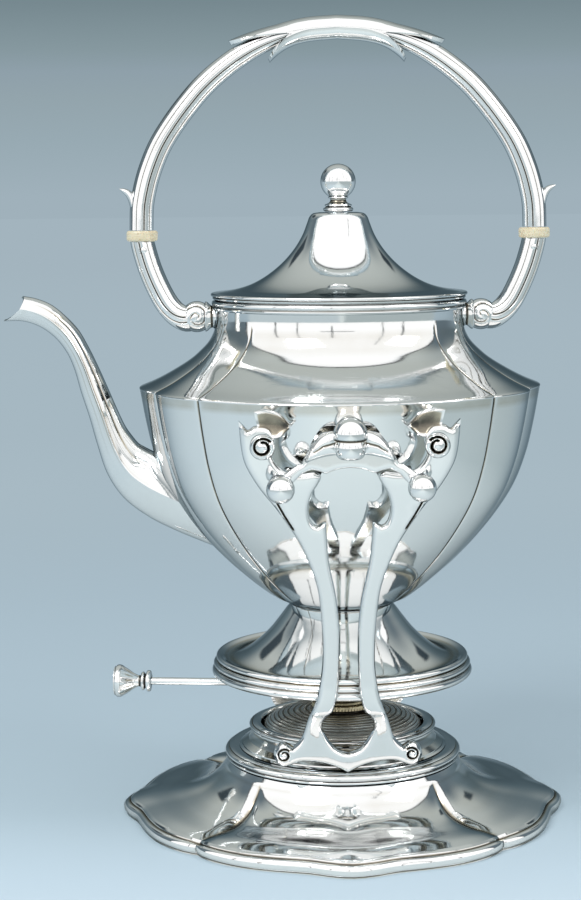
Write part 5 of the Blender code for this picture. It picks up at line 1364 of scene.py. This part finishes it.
def makeFloor():
    s = floorLook
    bm = bmesh.new()
    rings = [[bm.verts.new((x, y, 0)) for x, y in arc((s["centre"], 0), radius, fullTurn(s["around"]))]
             for radius in s["rings"]]
    joinRings(bm, [[bm.verts.new((s["centre"], 0, 0))]] + rings, False)
    floor = addObject("paleFloor", toMesh(bm, "paleFloor"))
    material, tree, shader = newMaterial("paleFloorPaintedLight")
    place = placeOf(tree)
    apart = addNode(tree, "SeparateXYZ", {"Vector": place}).outputs
    away = addNode(tree, "VectorMath", {0: place}, operation="LENGTH").outputs["Value"]
    colour = colourRamp(tree, between(tree, apart["Y"], -0.9, 1.5), s["colours"])
    colour = blendColour(tree, stepUp(tree, away, 4.5, 3.5), colour, lin(*s["far"]))
    mirrored = lin(*s["mirroredSide"])
    for way, start, end, shown in s["mirrored"]:
        mirrored = blendColour(tree, between(tree, apart[way], start, end), mirrored, lin(*shown))
    mirrored = blendColour(tree, stepUp(tree, apart["Y"], 0.35, 0.35), mirrored, colour)
    path = addNode(tree, "LightPath").outputs
    # painted reflection: glossy rays get the mirrored colours instead of the floor's own
    colour = blendColour(tree, path["Is Glossy Ray"], colour, mirrored)
    feed(tree, shader, {"Base Color": colour, "Roughness": 0.6, "Specular IOR Level": 0.1})
    paintedGlow = addNode(tree, "Emission", {"Strength": 1.0, "Color": colour})
    # painted glow: from about 0.4 m to 1.1 m out the floor turns from lit to shining with its painted colour
    mix = addNode(tree, "MixShader", {0: stepUp(tree, away, 0.75, 0.35), 1: shader.outputs[0], 2: paintedGlow.outputs[0]})
    feed(tree, tree.nodes["Material Output"], {"Surface": mix.outputs[0]})
    floor.data.materials.append(material)
    floor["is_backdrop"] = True


makeFloor()

studioLook = {
    "backdrop": ((0.0, (160, 177, 187)), (0.22, (152, 170, 179)), (0.40, (147, 164, 172)),
                 (0.50, (143, 160, 170)), (0.59, (134, 152, 159)), (0.77, (119, 137, 144)),
                 (1.0, (110, 128, 136))),
    "ceiling": (187, 193, 190), "side": (98, 112, 120), "dark": (34, 38, 42), "flag": (62, 73, 80),
    "fill": (236, 241, 245), "fillStrength": 0.90, "seam": (70, 76, 80), "cross": (60, 66, 70),
    "window": (1.10, 1.10, 1.10), "edge": (0.85, 0.87, 0.88), "windowBack": 0.10, "windowLow": -9.0,
    # the rest in degrees: both flags' inner and outer side, lower and upper edge, and hand
    "flags": ((128.0, 150.0, 23.0, 35.0, -1.0), (138.0, 150.0, 24.0, 33.0, 1.0)),
    # where each seam stands, its width, and its lower and upper end
    "seams": ((-9.0, 0.7, 4.0, 30.0), (38.0, 0.5, -4.0, 50.0), (-41.0, 0.5, -4.0, 50.0),
              (58.0, 0.9, -7.0, 22.0), (-63.0, 0.9, -7.0, 26.0)),
}


def makeSurroundings():
    s = studioLook
    world = bpy.data.worlds.new("softStudio")
    bpy.context.scene.world = world
    world.use_nodes = True
    tree = world.node_tree
    apart = addNode(tree, "SeparateXYZ", {"Vector": addNode(tree, "TexCoord").outputs["Generated"]}).outputs

    def times(*values):
        product = values[0]
        for value in values[1:]:
            product = calculate(tree, "MULTIPLY", product, value)
        return product

    def falling(value, at, soft):
        return calculate(tree, "SUBTRACT", 1.0, stepUp(tree, value, at, soft))

    def band(value, low, high, soft, softHigh=None):
        return times(stepUp(tree, value, low, soft), falling(value, high, softHigh or soft))

    def awayFrom(value, at):
        return calculate(tree, "ABSOLUTE", calculate(tree, "SUBTRACT", value, at))

    backdrop = colourRamp(tree, between(tree, apart["Z"], 0.0, 0.12), s["backdrop"])
    high = times(calculate(tree, "ARCSINE", apart["Z"]), degrees(1))
    front = times(apart["Y"], -1.0)
    wayRound = times(calculate(tree, "ARCTAN2", apart["X"], front), degrees(1))
    wide = calculate(tree, "ABSOLUTE", wayRound)

    # seen in the metal: a wide bright window in front, a warm ceiling, darker wings at the sides
    studio = blendColour(tree, stepUp(tree, high, 24.0, 10.0), backdrop, lin(*s["ceiling"]))
    beside = times(band(wide, 92.0, 126.0, 4.0, 16.0), falling(high, 44.0, 14.0))
    studio = blendColour(tree, beside, studio, lin(*s["side"]))
    # two dark flags stand high behind the object, the left one wider
    for inner, outer, low, top, hand in s["flags"]:
        flag = times(band(times(wayRound, hand), inner, outer, 2.0), band(high, low, top, 2.0))
        studio = blendColour(tree, flag, studio, lin(*s["flag"]))
    # the window is the tent's whole front, from the table up to just behind the zenith
    for wider, soft, colour in ((2.6, 0.8, lin(*s["dark"])), (1.2, 0.5, s["edge"]), (0.0, 0.5, s["window"])):
        near = stepUp(tree, front, -s["windowBack"] - wider * 0.0175, soft * 0.0175)
        window = times(near, stepUp(tree, high, s["windowLow"] - wider, soft))
        studio = blendColour(tree, window, studio, colour)
    # seams of the tent, as thin dark lines
    for at, thin, low, top in s["seams"]:
        line = times(falling(awayFrom(wayRound, at), thin, thin * 0.6), band(high, low, top, 1.5))
        studio = blendColour(tree, line, studio, lin(*s["seam"]))
    cross = times(falling(awayFrom(high, 9.0), 0.5, 0.4), falling(awayFrom(wayRound, -4.0), 15.0, 1.0))
    studio = blendColour(tree, cross, studio, lin(*s["cross"]))

    seen, mirrored, fill = [addNode(tree, "Background", {"Color": colour, "Strength": strength}).outputs[0]
                            for colour, strength in ((backdrop, 1.0), (studio, 1.0),
                                                     ((*lin(*s["fill"]), 1), s["fillStrength"]))]
    path = addNode(tree, "LightPath").outputs
    first = addNode(tree, "MixShader", {0: path["Is Glossy Ray"], 1: fill, 2: mirrored})
    second = addNode(tree, "MixShader", {0: path["Is Camera Ray"], 1: first.outputs[0], 2: seen})
    out = tree.nodes.get("World Output") or tree.nodes.new("ShaderNodeOutputWorld")
    feed(tree, out, {"Surface": second.outputs[0]})


makeSurroundings()

lightLook = {
    "leftBox": {"place": (-1.1, -1.3, 1.9), "aim": (0.0, 0.0, 0.15), "size": 1.0, "power": 20.0},
    "rightBox": {"place": (1.5, -0.7, 1.4), "aim": (0.0, 0.0, 0.15), "size": 0.8, "power": 7.0},
}
for name, s in lightLook.items():
    box = bpy.data.lights.new(name, "AREA")
    box.energy = s["power"]
    box.size = s["size"]
    light = addObject(name, box)
    light.location = s["place"]
    light.rotation_euler = (Vector(s["aim"]) - Vector(s["place"])).to_track_quat("-Z", "Y").to_euler()
print("floor, surroundings and lights made")

cameraLook = {"place": (-0.0151, -0.9374, 0.2836), "heading": 1.148, "pitch": 3.10, "roll": -0.525,
              "lens": 82.25, "shift": -0.16, "sensor": 36.0, "clip": (0.05, 60.0)}
camera = addObject("camera", bpy.data.cameras.new("camera"))
camera.data.lens = cameraLook["lens"]
camera.data.sensor_width = cameraLook["sensor"]
camera.data.shift_y = cameraLook["shift"]
camera.data.clip_start, camera.data.clip_end = cameraLook["clip"]
camera.rotation_mode = "XYZ"
camera.matrix_world = (Matrix.Translation(cameraLook["place"])
                       @ Matrix.Rotation(radians(-cameraLook["heading"]), 4, "Z")
                       @ Matrix.Rotation(radians(90 - cameraLook["pitch"]), 4, "X")
                       @ Matrix.Rotation(radians(cameraLook["roll"]), 4, "Z"))
bpy.context.scene.camera = camera
bpy.context.scene.view_settings.view_transform = "Standard"

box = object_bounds()
print("pieces:", len(made), "faces:", sum(len(p.data.polygons) for p in made))
